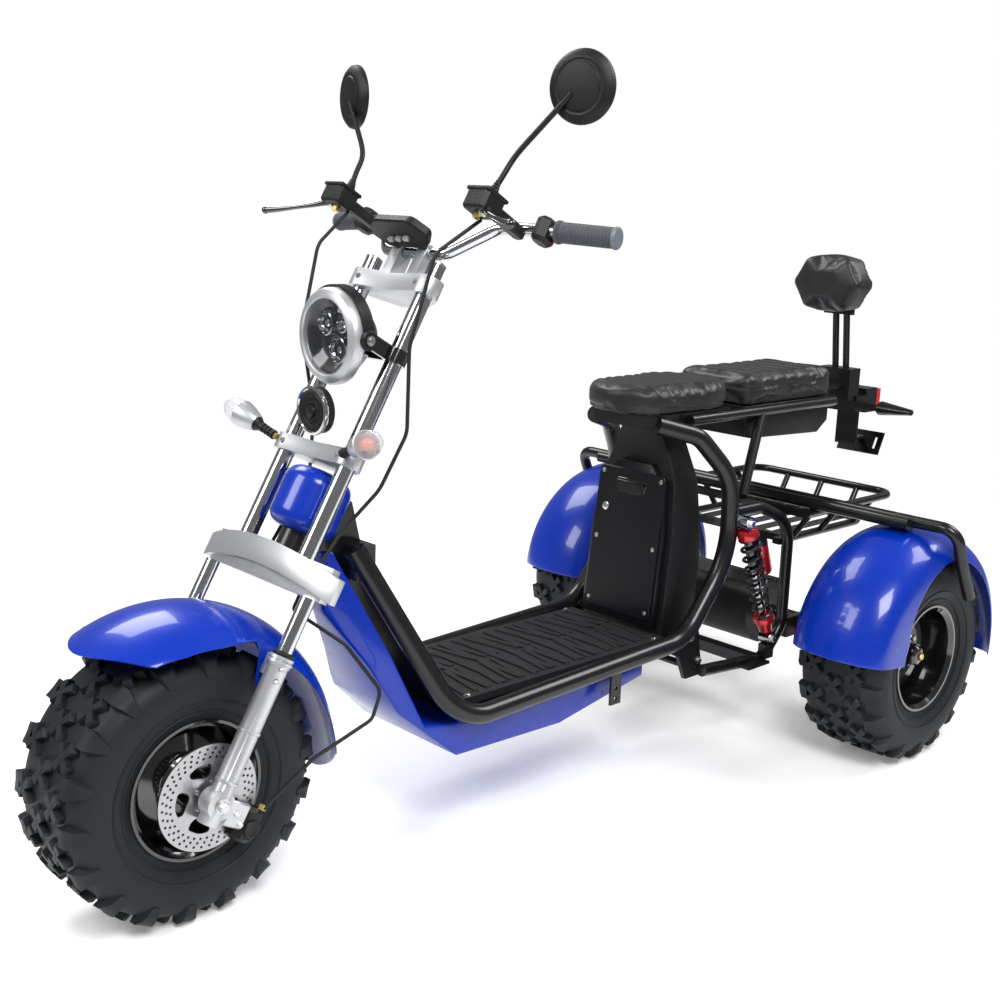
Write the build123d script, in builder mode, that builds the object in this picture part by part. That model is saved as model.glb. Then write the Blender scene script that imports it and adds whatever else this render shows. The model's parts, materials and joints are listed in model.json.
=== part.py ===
from build123d import *
import math
import os

# Electric tricycle with three balloon tyres, modelled in millimetres.
# Body pieces are drawn with x measured forward from the shock mounts' datum,
# y to the rider's left and z up from the ground.
# Steered pieces are drawn in the fork's own frame: x ahead of the steering
# axis, y to the left, z up along the axis, zero level with the front axle.

# Driving dimensions
WHEELBASE = 1531.0
REAR_WHEEL_X = -36.0
TYRE_R = 228.5
RAKE = 29.8
AXLE_AHEAD = 33.6
DATUM_X = -604.5

# Wheels
TYRE_HALF = 100.0
RIM_R = 117.0
RIM_HALF = 84.0
REAR_TRACK_HALF = 404.0
DISC_R = 88.0
DISC_Y = 116.0

# Fork
LEG_Y = 141.5
LEG_X = 33.0
LEG_R = 13.0
SLIDER_R = 17.5
TUBE_Y = 86.0
TUBE_X = 28.0
TUBE_R = 15.0
YOKE_Z = 346.0
YOKE_THICK = 58.0
MID_CLAMP_Z = 580.0
TOP_CLAMP_Z = 900.0
BAR_R = 11.1

# Seats
SADDLE_LOW = 737.0
SADDLE_TOP = 791.0
PAN_LOW = 712.0
PAN_HALF = 94.8
SEAT_RAIL_Y = 106.0

# Frame
RAIL_Y = 160.0
RAIL_R = 19.0
DECK_Z = 272.0
THIN_R = 11.0
MID_R = 13.0

# Mudguards
REAR_GUARD_R = 277.0
REAR_GUARD_BACK = 12.0
REAR_SKIRT = 113.0
FRONT_GUARD_R = 290.0
GUARD_HALF = 122.0
GUARD_WALL = 3.0

S_RAKE = math.sin(math.radians(RAKE))
C_RAKE = math.cos(math.radians(RAKE))
FRONT_AXLE = (REAR_WHEEL_X + WHEELBASE, 0.0, TYRE_R)
FORK_ORIGIN = (FRONT_AXLE[0] - AXLE_AHEAD * C_RAKE, 0.0, TYRE_R - AXLE_AHEAD * S_RAKE)

# Places that carry each drawing frame into the shared frame
SHIFT = Location((DATUM_X, 0, 0))
BODY = SHIFT
FORK = SHIFT * Plane(origin=FORK_ORIGIN, x_dir=(C_RAKE, 0, S_RAKE), z_dir=(-S_RAKE, 0, C_RAKE)).location
FRONT_HUB = SHIFT * Location(FRONT_AXLE)
REAR_LEFT_HUB = SHIFT * Location((REAR_WHEEL_X, REAR_TRACK_HALF, TYRE_R))
REAR_RIGHT_HUB = SHIFT * Location((REAR_WHEEL_X, -REAR_TRACK_HALF, TYRE_R))

os.makedirs("parts", exist_ok=True)


def hand_in(name, shape, place):
    """Label a finished piece, carry it into the shared frame and write it."""
    solid = shape.part.moved(place) if hasattr(shape, "part") else shape.moved(place)
    solid.label = name
    export_step(solid, "parts/" + name + ".step")
    return solid


def tube(points, radii, outer, inner=0.0):
    """Round tube along straight runs joined by arcs."""
    with BuildPart() as run:
        with BuildLine() as route:
            if radii:
                FilletPolyline(*points, radius=radii)
            else:
                Polyline(*points)
        start = Plane(origin=route.wire() @ 0, z_dir=route.wire() % 0)
        with BuildSketch(start):
            Circle(outer)
            if inner > 0:
                Circle(inner, mode=Mode.SUBTRACT)
        sweep(path=route.wire())
    return run.part


def rod(start, end, radius):
    """Round bar between two points."""
    axis = Vector(*end) - Vector(*start)
    with BuildPart() as bar:
        with BuildSketch(Plane(origin=start, z_dir=axis.normalized())):
            Circle(radius)
        extrude(amount=axis.length)
    return bar.part


def mirrored(point):
    """The same point on the rider's right."""
    return (point[0], -point[1], point[2])


# Tyres: a square-shouldered balloon section turned about the axle
TYRE_SIDE = (
    # radius, distance from the centre plane
    (TYRE_R, 54), (TYRE_R - 5, 84), (TYRE_R - 22, 94), (172, TYRE_HALF), (146, 97),
    (RIM_R + 8, RIM_HALF - 2), (RIM_R - 8, RIM_HALF - 6),
)
with BuildPart() as tyre:
    with BuildSketch(Plane.XY):
        Polygon(*TYRE_SIDE, *[(radius, -side) for radius, side in reversed(TYRE_SIDE)], align=None)
    revolve(axis=Axis.Y)
hand_in("front_tyre", tyre, FRONT_HUB)
hand_in("rear_tyre_left", tyre, REAR_LEFT_HUB)
hand_in("rear_tyre_right", tyre, REAR_RIGHT_HUB)

# Rims: pressed steel, deep well, with flanges at both edges
with BuildPart() as rim_barrel:
    with BuildSketch(Plane.XY):
        Polygon(
            (RIM_R, -RIM_HALF - 3), (RIM_R, -RIM_HALF + 2), (RIM_R - 9, -RIM_HALF + 5.5),
            (RIM_R - 9, RIM_HALF - 5.5), (RIM_R, RIM_HALF - 2), (RIM_R, RIM_HALF + 3),
            (RIM_R - 5, RIM_HALF + 3), (RIM_R - 13, RIM_HALF - 6), (RIM_R - 13, -RIM_HALF + 6),
            (RIM_R - 5, -RIM_HALF - 3), align=None,
        )
    revolve(axis=Axis.Y)

# Front hub motor fills the well behind the disc
with BuildPart() as front_wheel_centre:
    add(rim_barrel.part)
    with BuildSketch(Plane.XY):
        Polygon(
            (8.3, -58), (70, -58), (84, -44), (106, -30), (106, 34), (84, 48),
            (60, 60), (44, 74), (30, 74), (30, 84), (8.3, 84), align=None,
        )
    revolve(axis=Axis.Y)
hand_in("front_rim", front_wheel_centre, FRONT_HUB)

# Drilled brake disc on the rider's left of the front wheel
with BuildPart() as brake_disc:
    with BuildSketch(Plane.XZ.offset(-DISC_Y - 2.0)):
        Circle(DISC_R)
        Circle(DISC_R - 27, mode=Mode.SUBTRACT)
        with PolarLocations(DISC_R - 12, 12):
            Circle(3.4, mode=Mode.SUBTRACT)
    extrude(amount=4)
    with BuildSketch(Plane.XZ.offset(-DISC_Y - 2.0)):
        with PolarLocations(44, 5):
            Rectangle(44, 15)
        Circle(30)
        Circle(16, mode=Mode.SUBTRACT)
    extrude(amount=4)
    with BuildSketch(Plane.XZ.offset(-DISC_Y + 2.0)):
        Circle(30)
        Circle(16, mode=Mode.SUBTRACT)
    extrude(amount=DISC_Y - 2.0 - 84.0)
hand_in("brake_disc", brake_disc, FRONT_HUB)

# Rear wheel centres are dished away from the outer face
with BuildPart() as rear_wheel_centre:
    add(rim_barrel.part)
    with BuildSketch(Plane.XY):
        Polygon(
            (22, 14), (52, 14), (66, 24), (84, 24), (106, 6), (106, 0), (82, 18),
            (68, 18), (54, 8), (22, 8), align=None,
        )
    revolve(axis=Axis.Y)
    with Locations(Location((0, 30, 0), (90, 0, 0))):
        Cylinder(24, 60)
    for stud in range(4):
        turn = math.radians(45 + 90 * stud)
        with Locations(Location((38 * math.cos(turn), 20, 38 * math.sin(turn)), (90, 0, 0))):
            Cylinder(8, 24)
hand_in("rear_rim_left", rear_wheel_centre, REAR_LEFT_HUB)
hand_in("rear_rim_right", mirror(rear_wheel_centre.part, about=Plane.XZ), REAR_RIGHT_HUB)

# Side rails: one long tube a side from the steering neck, along the deck,
# round behind the battery pillar and up to the saddle
RAIL_ROUTE = [
    (1165, 52, 565), (1010, RAIL_Y, 243), (380, RAIL_Y, 268), (248, RAIL_Y, 430),
    (256, RAIL_Y, 600), (330, 125, 690), (420, 85, 716),
]
RAIL_BENDS = [110, 110, 200, 130, 60]
RAIL_UPRIGHT = RAIL_ROUTE[3:5]


def rail_back(level):
    """How far forward the back of the upright rail stands at a given height."""
    low, high = RAIL_UPRIGHT
    share = (level - low[2]) / (high[2] - low[2])
    return low[0] + share * (high[0] - low[0]) - RAIL_R


with BuildPart() as main_frame:
    add(tube(RAIL_ROUTE, RAIL_BENDS, RAIL_R))
    add(tube([mirrored(p) for p in RAIL_ROUTE], RAIL_BENDS, RAIL_R))
    for cross_x in (380, 700, 960):
        with Locations((cross_x, 0, 246)):
            Box(36, 2 * RAIL_Y, 24)
    # pan under the saddle
    with BuildSketch(Plane.XY.offset(PAN_LOW)):
        Polygon((190, -PAN_HALF), (400, -PAN_HALF), (462, -52), (462, 52), (400, PAN_HALF), (190, PAN_HALF),
                align=None)
    extrude(amount=SADDLE_LOW - 0.3 - PAN_LOW)
    # hanging plates and the bolt that carry the rear subframe
    for start in (151, -141):
        with BuildSketch(Plane.XZ.offset(-start)):
            Polygon((300, 172), (356, 172), (392, 250), (362, 300), (326, 312), align=None)
        extrude(amount=10)
    # drilled brackets under the rails
    for side in (1, -1):
        with Locations((590, side * 160, 211)):
            Box(30, 5, 70)
        for level in (188, 210):
            with Locations(Location((590, side * 160, level), (90, 0, 0))):
                Cylinder(4.25, 20, mode=Mode.SUBTRACT)
    with Locations(Location((328, 0, 191), (90, 0, 0))):
        Cylinder(8, 316)
    # neck gusset and head tube
    with BuildSketch(Plane.XZ):
        Polygon(
            (1130, 562), (1200, 562), (1262, 568), (1196, 686), (1150, 640), align=None,
        )
    extrude(amount=26, both=True)
    with Locations((1148, 0, 540)):
        Box(40, 130, 60)
HEAD_LOW = 404.3
HEAD_HIGH = 553.7


def fork_point(x, y, z):
    """A point given in the fork's frame, in body drawing coordinates."""
    return (
        FORK_ORIGIN[0] + x * C_RAKE - z * S_RAKE,
        y,
        FORK_ORIGIN[2] + x * S_RAKE + z * C_RAKE,
    )


head_tube = rod(fork_point(0, 0, HEAD_LOW), fork_point(0, 0, HEAD_HIGH), 27)
main_frame_solid = main_frame.part + head_tube
hand_in("main_frame", main_frame_solid, BODY)

# Deck mat lies between the rails on its own tray
with BuildPart() as deck:
    with Locations((703, 0, DECK_Z - 7)):
        Box(582, 270, 14)
    for rib in range(11):
        with Locations((480 + 42 * rib, 0, DECK_Z + 1)):
            Box(14, 236, 4)
hand_in("deck_mat", deck, BODY)

# Leg shield: a flat board leaning along the rails ahead of the feet
with BuildPart() as leg_shield:
    with BuildSketch(Plane(origin=(1000, 0, 262), x_dir=(0, 1, 0), z_dir=(0.9, 0, -0.44))):
        Polygon((-131, 0), (131, 0), (111, 60), (49, 265), (-49, 265), (-111, 60), align=None)
    extrude(amount=6, both=True)
hand_in("leg_shield", leg_shield, BODY)

# Lower fairing: a keel with a sharp prow, closed under the deck
with BuildPart() as keel:
    with BuildSketch(Plane.XZ):
        Polygon(
            (470, 200), (724, 161), (992, 167), (1098, 262), (1142, 352), (1204, 452),
            (1206, 560), (1192, 560), (1166, 500), (1051, 233.7), (470, 233.7), align=None,
        )
    extrude(amount=160, both=True)
    with BuildSketch(Plane.XY.offset(100)):
        Polygon(
            (460, -128), (724, -138), (1000, -138), (1110, -92), (1215, -10),
            (1215, 10), (1110, 92), (1000, 138), (724, 138), (460, 128), align=None,
        )
    extrude(amount=500, mode=Mode.INTERSECT)
hand_in("lower_fairing", keel, BODY)

# Neck cover: a bulb ahead of the head tube
NECK_Z = 497.0
with BuildPart() as neck_cover:
    with Locations((0, 0, NECK_Z)):
        Cylinder(60, 110)
    fillet(neck_cover.edges(), 28)
    with Locations((0, 0, NECK_Z)):
        Cylinder(30, 200, mode=Mode.SUBTRACT)
    with Locations((-50, 0, NECK_Z)):
        Box(100, 53, 200, mode=Mode.SUBTRACT)
hand_in("neck_cover", neck_cover, FORK)

# Battery pillar leans back and narrows under the saddle, with a raised front panel
CASE_FOOT = (402.8, 258.3)
CASE_BROW = (362.8, 640.0)
with BuildPart() as battery_case:
    with BuildSketch(Plane.XZ):
        Polygon(
            (300, 258.3), CASE_FOOT, CASE_BROW, (372, PAN_LOW - 0.2), (300, PAN_LOW - 0.2), (290, 560),
            (284, 400), align=None,
        )
    extrude(amount=112, both=True)
    with BuildSketch(Plane.YZ):
        Polygon(
            (-112, 250), (112, 250), (112, 480), (100, 590), (56, 690), (56, 720),
            (-56, 720), (-56, 690), (-100, 590), (-112, 480), align=None,
        )
    extrude(amount=600, mode=Mode.INTERSECT)
hand_in("battery_case", battery_case, BODY)

LEAN = (CASE_BROW[1] - CASE_FOOT[1], 0, CASE_FOOT[0] - CASE_BROW[0])
with BuildPart() as battery_panel:
    with BuildSketch(Plane(origin=(CASE_FOOT[0], 0, CASE_FOOT[1]), x_dir=(0, 1, 0), z_dir=LEAN).offset(0.2)):
        Polygon(
            (-100, 20), (100, 20), (98, 230), (86, 310), (46, 366), (-46, 366), (-86, 310), (-98, 230),
            align=None,
        )
    extrude(amount=18)
hand_in("battery_panel", battery_panel, BODY)

# Saddle and passenger seat are simple cushions
with BuildPart() as saddle:
    with BuildSketch(Plane.XY.offset(SADDLE_LOW)):
        with BuildLine():
            ThreePointArc((430, -98), (488, 0), (430, 98))
            Line((430, 98), (300, 106))
            ThreePointArc((300, 106), (218, 98), (166, 60))
            ThreePointArc((166, 60), (150, 0), (166, -60))
            ThreePointArc((166, -60), (218, -98), (300, -106))
            Line((300, -106), (430, -98))
        make_face()
    extrude(amount=SADDLE_TOP - SADDLE_LOW)
    fillet(saddle.edges().group_by(Axis.Z)[-1], 20)
hand_in("saddle", saddle, BODY)

SEAT_X = -28.0
SEAT_LEN = 336.0
SEAT_HALF = 101.0
with BuildPart() as passenger_seat:
    with Locations((SEAT_X, 0, 765)):
        Box(SEAT_LEN, 2 * SEAT_HALF, 64)
    fillet(passenger_seat.edges().filter_by(Axis.Z), 24)
    fillet(passenger_seat.edges().group_by(Axis.Z)[-1], 14)
hand_in("passenger_seat", passenger_seat, BODY)

with BuildPart() as seat_base:
    with BuildSketch(Plane.XZ):
        Polygon((-188, 732.6), (136, 732.6), (136, 700), (110, 660), (-150, 650), (-188, 676), align=None)
    extrude(amount=SEAT_RAIL_Y - THIN_R - 0.3, both=True)
hand_in("seat_base", seat_base, BODY)

# Tubes that carry the passenger seat, from the saddle frame to the basket
SEAT_RAIL = [(338, SEAT_RAIL_Y, 721.7), (-192, SEAT_RAIL_Y, 721.7)]
SEAT_STRUT = [(90, SEAT_RAIL_Y, 712), (225.2, 168.5, 558)]
with BuildPart() as seat_frame:
    for side in (1, -1):
        add(tube([(x, side * y, z) for x, y, z in SEAT_RAIL], [], THIN_R))
        add(tube([(x, side * y, z) for x, y, z in SEAT_STRUT], [], THIN_R))
    with Locations((-196, 0, 721)):
        Box(12, 2 * SEAT_RAIL_Y, 20)
hand_in("seat_frame", seat_frame, BODY)

# Backrest: two pads back to back on a flat post
BACK_X = -312.0
with BuildPart() as backrest:
    with BuildSketch(Plane.YZ.offset(BACK_X - 30)):
        Polygon(
            (-96, 985), (-60, 1046), (60, 1046), (96, 985), (60, 924), (-60, 924), align=None,
        )
    extrude(amount=68)
    fillet(backrest.edges().filter_by(Axis.X), 20)
    fillet(backrest.edges().group_by(Axis.X)[-1], 12)
hand_in("backrest_pad", backrest, BODY)

# One welded bracket holds the backrest, the tail lamp and both rear signals
with BuildPart() as backrest_frame:
    for side in (15, -15):
        add(rod((-388, side, 690), (-356, side, 930), 8))
    with Locations((-372, 0, 738)):
        Box(46, 90, 80)
    with Locations((-347.65, 0, 935)):
        Box(10.7, 80, 50)
    with Locations((-279.8, 0, 735)):
        Box(155, 60, 8)
    with Locations((-410, 0, 690)):
        Box(60, 100, 40)
    for side in (1, -1):
        with Locations((-384, side * 80, 690)):
            Box(22, 80, 16)
        with BuildSketch(Plane(origin=(-384, side * 118, 690), z_dir=(0, side, 0))):
            Ellipse(17, 24)
        with BuildSketch(Plane(origin=(-384, side * 200, 690), z_dir=(0, side, 0))):
            Ellipse(7, 10)
        loft()
    with Locations((-430, 0, 640)):
        Box(6, 60, 120)
    with Locations((-455, 0, 695)):
        Box(50, 92, 60)
hand_in("backrest_frame", backrest_frame, BODY)

with BuildPart() as tail_lens:
    with Locations((-496, 0, 695)):
        Box(32, 84, 52)
    fillet(tail_lens.edges().group_by(Axis.X)[0], 12)
hand_in("tail_lens", tail_lens, BODY)

# Number plate bracket with slotted ears
with BuildPart() as plate_bracket:
    with Locations(Location((-500, 0, 580), (0, -25, 0))):
        Box(4, 120, 60)
        with Locations((0, 42, 0), (0, -42, 0)):
            Box(10, 8, 30, mode=Mode.SUBTRACT)
    with Locations((-468.8, 0, 590)):
        Box(71, 20, 8)
hand_in("plate_bracket", plate_bracket, BODY)

# Rear subframe: bent hoops from the pivot bolts round the shocks to the axle
LOOP_Z = 524.0
SUBFRAME_ROUTE = [
    (328, 172, 191), (110, 172, 172), (45, 172, 240), (48, 172, 480), (150, 162, LOOP_Z),
    (rail_back(LOOP_Z) - 0.9, RAIL_Y, LOOP_Z),
]
with BuildPart() as subframe:
    for side in (1, -1):
        add(tube([(x, side * y, z) for x, y, z in SUBFRAME_ROUTE], [60, 50, 80, 60], MID_R))
        with Locations((124, side * 190, 198.9)):
            Box(30, 20, 33)
        # folding foot rests, one each side
        with Locations((172, side * 196, 178)):
            Box(76, 28, 6)
    with Locations((48, 0, 330)):
        Box(20, 344, 24)
    with Locations((150, 0, 178)):
        Box(30, 344, 24)
hand_in("rear_subframe", subframe, BODY)

# Axle beam with the drive motor as one plain block
AXLE_HALF = REAR_TRACK_HALF - 0.3
AXLE_PLATE = (REAR_WHEEL_X - 22, 32.6)
with BuildPart() as rear_axle:
    with Locations(Location((REAR_WHEEL_X, 0, TYRE_R), (90, 0, 0))):
        Cylinder(20, 2 * (REAR_TRACK_HALF - 95))
        Cylinder(14, 2 * AXLE_HALF)
    for side in (1, -1):
        with Locations((0.5 * (AXLE_PLATE[0] + AXLE_PLATE[1]), side * 172, TYRE_R)):
            Box(AXLE_PLATE[1] - AXLE_PLATE[0], 14, 46)
hand_in("rear_axle", rear_axle, BODY)
with BuildPart() as motor:
    with Locations(Location((REAR_WHEEL_X, -20, TYRE_R), (90, 0, 0))):
        Cylinder(75, 180)
        Cylinder(20.3, 400, mode=Mode.SUBTRACT)
hand_in("motor_block", motor, BODY)

# Shocks with coils and side reservoirs
SHOCK_TOP = (241, 195, 508)
SHOCK_LOW = (130, 195, 232)
SHOCK_STEPS = (
    # height up the shock, radius, length
    (-14, 9, 325), (20, 27, 14), (34, 23, 188), (222, 27, 16), (238, 18, 46),
)
for side, tag in ((1, "left"), (-1, "right")):
    top = Vector(SHOCK_TOP[0], side * SHOCK_TOP[1], SHOCK_TOP[2])
    low = Vector(SHOCK_LOW[0], side * SHOCK_LOW[1], SHOCK_LOW[2])
    axis = (top - low).normalized()
    length = (top - low).length
    foot = Plane(origin=low, z_dir=axis)
    with BuildPart() as shock:
        for level, radius, tall in SHOCK_STEPS:
            with BuildSketch(foot.offset(level)):
                Circle(radius)
            extrude(amount=tall)
        with BuildSketch(Plane(origin=low + axis * 190 + Vector(-52, 0, 0), z_dir=axis)):
            Circle(17)
        extrude(amount=95)
        with Locations(Location(tuple(low + axis * 268 + Vector(-30, 0, 0)))):
            Box(44, 16, 16)
    hand_in("shock_" + tag, shock, BODY)

# Cargo basket of bent tubes
with BuildPart() as basket:
    for level, half, front, back in ((497.7, 200, 24, -340), (430, 150, 20, -300)):
        ring = [
            (front, half, level), (back, half, level), (back, -half, level), (front, -half, level),
        ]
        add(tube(ring, [45, 45], 9))
        with Locations((front, 0, level)):
            Box(18, 2 * half, 16)
    # lugs on the inner sides of the subframe's loops
    for side in (1, -1):
        with Locations((38, side * 148.8, 430)):
            Box(40, 20, 14)
    for bar_y in (-100, -50, 0, 50, 100):
        with Locations((-140, bar_y, 430)):
            Box(320, 10, 10)
    for post_x in (-250, -110, 0):
        for side in (1, -1):
            add(rod((post_x, side * 198, 498), (post_x, side * 150, 430), 7))
    for post_y in (-100, 0, 100):
        add(rod((-340, post_y, 498), (-300, post_y, 430), 7))
hand_in("cargo_basket", basket, BODY)

GUARD_TOP = TYRE_R + REAR_GUARD_R

# Guard hoop: twin cross tubes over the wheels, turned down behind them
HOOP_Z = 520.0
STAY_Y = REAR_TRACK_HALF + REAR_SKIRT + MID_R + 2.0
HOOP = [(-110, STAY_Y, 362), (-62, STAY_Y, 440), (-25, STAY_Y, HOOP_Z), (-25, -STAY_Y, HOOP_Z),
        (-62, -STAY_Y, 440), (-110, -STAY_Y, 362)]
with BuildPart() as guard_hoop:
    add(tube(HOOP, [60, 34, 34, 60], MID_R))
    add(rod((6, 440, HOOP_Z), (6, -440, HOOP_Z), MID_R))
    for side in (1, -1):
        with Locations((-27, side * (REAR_TRACK_HALF - 8), 0.5 * (HOOP_Z + GUARD_TOP + 0.2))):
            Box(66, 40, HOOP_Z - GUARD_TOP - 0.2)
        with Locations((-10, side * 200, 513.5)):
            Box(40, 26, 13)
hand_in("guard_hoop", guard_hoop, BODY)

# Rear mudguards: deep skirt outside, shallow inside, open behind the wheel
with BuildPart() as rear_guard:
    with BuildSketch(Plane.XY):
        with BuildLine():
            ThreePointArc((214, -118), (REAR_GUARD_R, 4), (240, 104))
            Line((240, 104), (150, REAR_SKIRT))
            Line((150, REAR_SKIRT), (150, REAR_SKIRT - GUARD_WALL))
            Line((150, REAR_SKIRT - GUARD_WALL), (237, 101))
            ThreePointArc((237, 101), (REAR_GUARD_R - GUARD_WALL, 4), (214, -115))
            Line((214, -115), (214, -118))
        make_face()
    revolve(axis=Axis.Y, revolution_arc=184)
rear_guard_turned = rear_guard.part.rotate(Axis.Y, -190)
with BuildPart() as rear_guard_cut:
    add(rear_guard_turned)
    with Locations(Location((-45, 120, -12), (90, 0, 0))):
        Cylinder(214, 60, mode=Mode.SUBTRACT)
GUARD_SHIFT = Location((-REAR_GUARD_BACK, 0, 0))
hand_in("rear_guard_left", rear_guard_cut, REAR_LEFT_HUB * GUARD_SHIFT)
hand_in("rear_guard_right", mirror(rear_guard_cut.part, about=Plane.XZ), REAR_RIGHT_HUB * GUARD_SHIFT)


def guard(crown, edge, half, first, last, wall):
    """Mudguard shell: an arched section turned about the axle."""
    with BuildPart() as shell:
        with BuildSketch(Plane.XY):
            with BuildLine():
                ThreePointArc((edge, -half), (crown, 0), (edge, half))
                Line((edge, half), (edge, half - wall))
                ThreePointArc((edge, half - wall), (crown - wall, 0), (edge, -half + wall))
                Line((edge, -half + wall), (edge, -half))
            make_face()
        revolve(axis=Axis.Y, revolution_arc=last - first)
    return shell.part.rotate(Axis.Y, -last)


# Fork pieces, drawn in the fork's own frame
front_guard = guard(FRONT_GUARD_R, 240, GUARD_HALF, 25, 163, GUARD_WALL)
hand_in("front_guard", front_guard, FORK * Location((AXLE_AHEAD, 0, 0)))

# Cast sliders joined by the wheel spindle
with BuildPart() as sliders:
    for side in (1, -1):
        with Locations((LEG_X, side * LEG_Y, 100)):
            Cylinder(SLIDER_R, 270)
        with Locations((LEG_X, side * LEG_Y, 237)):
            Cylinder(SLIDER_R + 1.5, 16)
        with Locations(Location((AXLE_AHEAD, side * LEG_Y, 0), (90, 0, 0))):
            Cylinder(24, 30)
        # tabs bolted to the mudguard's sides
        with Locations((LEG_X, side * (GUARD_HALF + 4.2), 227)):
            Box(30, 8, 34)
    with Locations(Location((AXLE_AHEAD, 0, 0), (90, 0, 0))):
        Cylinder(8, 330)
hand_in("fork_sliders", sliders, FORK)

for side, tag in ((1, "left"), (-1, "right")):
    with BuildPart() as stanchion:
        with Locations((LEG_X, side * LEG_Y, 245 + 0.5 * (YOKE_Z - 245))):
            Cylinder(LEG_R, YOKE_Z - 245)
    hand_in("fork_stanchion_" + tag, stanchion, FORK)
    with BuildPart() as upper_tube:
        with Locations((TUBE_X, side * TUBE_Y, 0.5 * (404 + 946))):
            Cylinder(TUBE_R, 946 - 404)
    hand_in("fork_tube_" + tag, upper_tube, FORK)

# Lower yoke with the arched cover in front of it
with BuildPart() as yoke_cover:
    with BuildSketch(Plane.XY.offset(YOKE_Z)):
        with BuildLine():
            ThreePointArc((27, -188), (62, 0), (27, 188))
            Line((27, 188), (12, 184))
            ThreePointArc((12, 184), (52, 0), (12, -184))
            Line((12, -184), (27, -188))
        make_face()
    extrude(amount=70)
    with BuildSketch(Plane.YZ):
        with BuildLine():
            ThreePointArc((-190, 390), (0, 411), (190, 390))
            Line((190, 390), (190, 348))
            ThreePointArc((190, 348), (0, 368), (-190, 348))
            Line((-190, 348), (-190, 390))
        make_face()
    extrude(amount=90, mode=Mode.INTERSECT)
with BuildPart() as yoke:
    add(yoke_cover.part)
    with BuildSketch(Plane.XY.offset(YOKE_Z)):
        Polygon(
            (-32, -40), (-32, 40), (6, 156), (28, 164), (42, 120), (52, 0), (42, -120),
            (28, -164), (6, -156), align=None,
        )
    extrude(amount=YOKE_THICK)
hand_in("lower_yoke", yoke, FORK)


def clamp_plate(level, thick):
    """Flat clamp across both fork tubes with round ends."""
    with BuildPart() as plate:
        with BuildSketch(Plane.XY.offset(level)):
            with Locations((TUBE_X, TUBE_Y), (TUBE_X, -TUBE_Y)):
                Circle(24)
            Polygon((-28, -34), (-28, 34), (6, TUBE_Y + 10), (52, TUBE_Y), (40, 0), (52, -TUBE_Y),
                    (6, -TUBE_Y - 10), align=None)
        extrude(amount=thick)
        with BuildSketch(Plane.XY.offset(level)):
            with Locations((TUBE_X, TUBE_Y), (TUBE_X, -TUBE_Y)):
                Circle(TUBE_R + 0.3)
        extrude(amount=thick, mode=Mode.SUBTRACT)
    return plate


hand_in("mid_clamp", clamp_plate(MID_CLAMP_Z - 14, 28), FORK)
top_clamp = clamp_plate(TOP_CLAMP_Z - 16, 32)
BAR_CENTRE = (18.0, 0.0, 968.0)
with BuildPart() as risers:
    for side in (1, -1):
        with Locations((BAR_CENTRE[0], side * 34, 942)):
            Box(30, 24, 74)
        with Locations(Location((BAR_CENTRE[0], side * 34, BAR_CENTRE[2]), (90, 0, 0))):
            Cylinder(BAR_R + 0.3, 40, mode=Mode.SUBTRACT)
top_clamp_solid = top_clamp.part + risers.part
hand_in("top_clamp", top_clamp_solid, FORK)

BAR_ROUTE = [
    (-60, 366, 1061), (-32, 258, 1051), (-8, 150, 1040), (18, 76, 968), (18, -76, 968),
    (-8, -150, 1040), (-32, -258, 1051), (-60, -366, 1061),
]
handlebar = tube(BAR_ROUTE, [60, 45, 40, 40, 45, 60], BAR_R)
hand_in("handlebar", handlebar, FORK)

# Hand controls each side
RESERVOIR_Z = 1036.0
for side, tag in ((1, "left"), (-1, "right")):
    outer = Vector(-60.5, side * 368, 1061.2)
    inner = Vector(-32, side * 258, 1051)
    run = (outer - inner).normalized()
    with BuildPart() as grip:
        with BuildSketch(Plane(origin=inner + run * 4, z_dir=run)):
            Circle(17)
            Circle(BAR_R + 0.3, mode=Mode.SUBTRACT)
        extrude(amount=110)
        with BuildSketch(Plane(origin=inner + run * 113.5, z_dir=run)):
            Circle(18)
        extrude(amount=8)
    hand_in("grip_" + tag, grip, FORK)
    with BuildPart() as controls:
        with Locations(Location((-28, side * 238, 1048))):
            Box(46, 34, 46)
        with Locations(Location((78, side * 194, RESERVOIR_Z))):
            Box(48, 52, 36)
        with Locations(Location((28, side * 194, 1036))):
            Box(110, 26, 22)
        with Locations(Location((-12, side * 180, 1046))):
            Cylinder(BAR_R + 0.3, 10, mode=Mode.SUBTRACT)
        lever_run = [(80, side * 200, 1028), (98, side * 245, 1006), (124, side * 330, 978)]
        add(tube(lever_run, [30], 5.5))
        with Locations(lever_run[-1]):
            Sphere(7.5)
    solid = controls.part - tube(
        [(-60, side * 366, 1061), (-32, side * 258, 1051), (-8, side * 150, 1040), (18, side * 76, 968)],
        [60, 45], BAR_R + 0.3)
    hand_in("hand_controls_" + tag, solid, FORK)
    with BuildPart() as mirror_arm:
        stem = [(68, side * 190, RESERVOIR_Z + 18.3), (66, side * 205, 1135), (84, side * 292, 1236)]
        add(tube(stem, [30], 5))
        with BuildSketch(Plane(origin=(80, side * 298, 1249), z_dir=(0.84, side * 0.25, -0.48))):
            Circle(59)
        extrude(amount=20)
    hand_in("rear_view_mirror_" + tag, mirror_arm, FORK)

# Headlamp and horn look straight ahead
AHEAD = (C_RAKE, 0.0, -S_RAKE)


def ahead_of(point):
    """Plane at a fork point that faces straight down the road."""
    return Plane(origin=point, x_dir=(0, 1, 0), z_dir=AHEAD)


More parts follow.
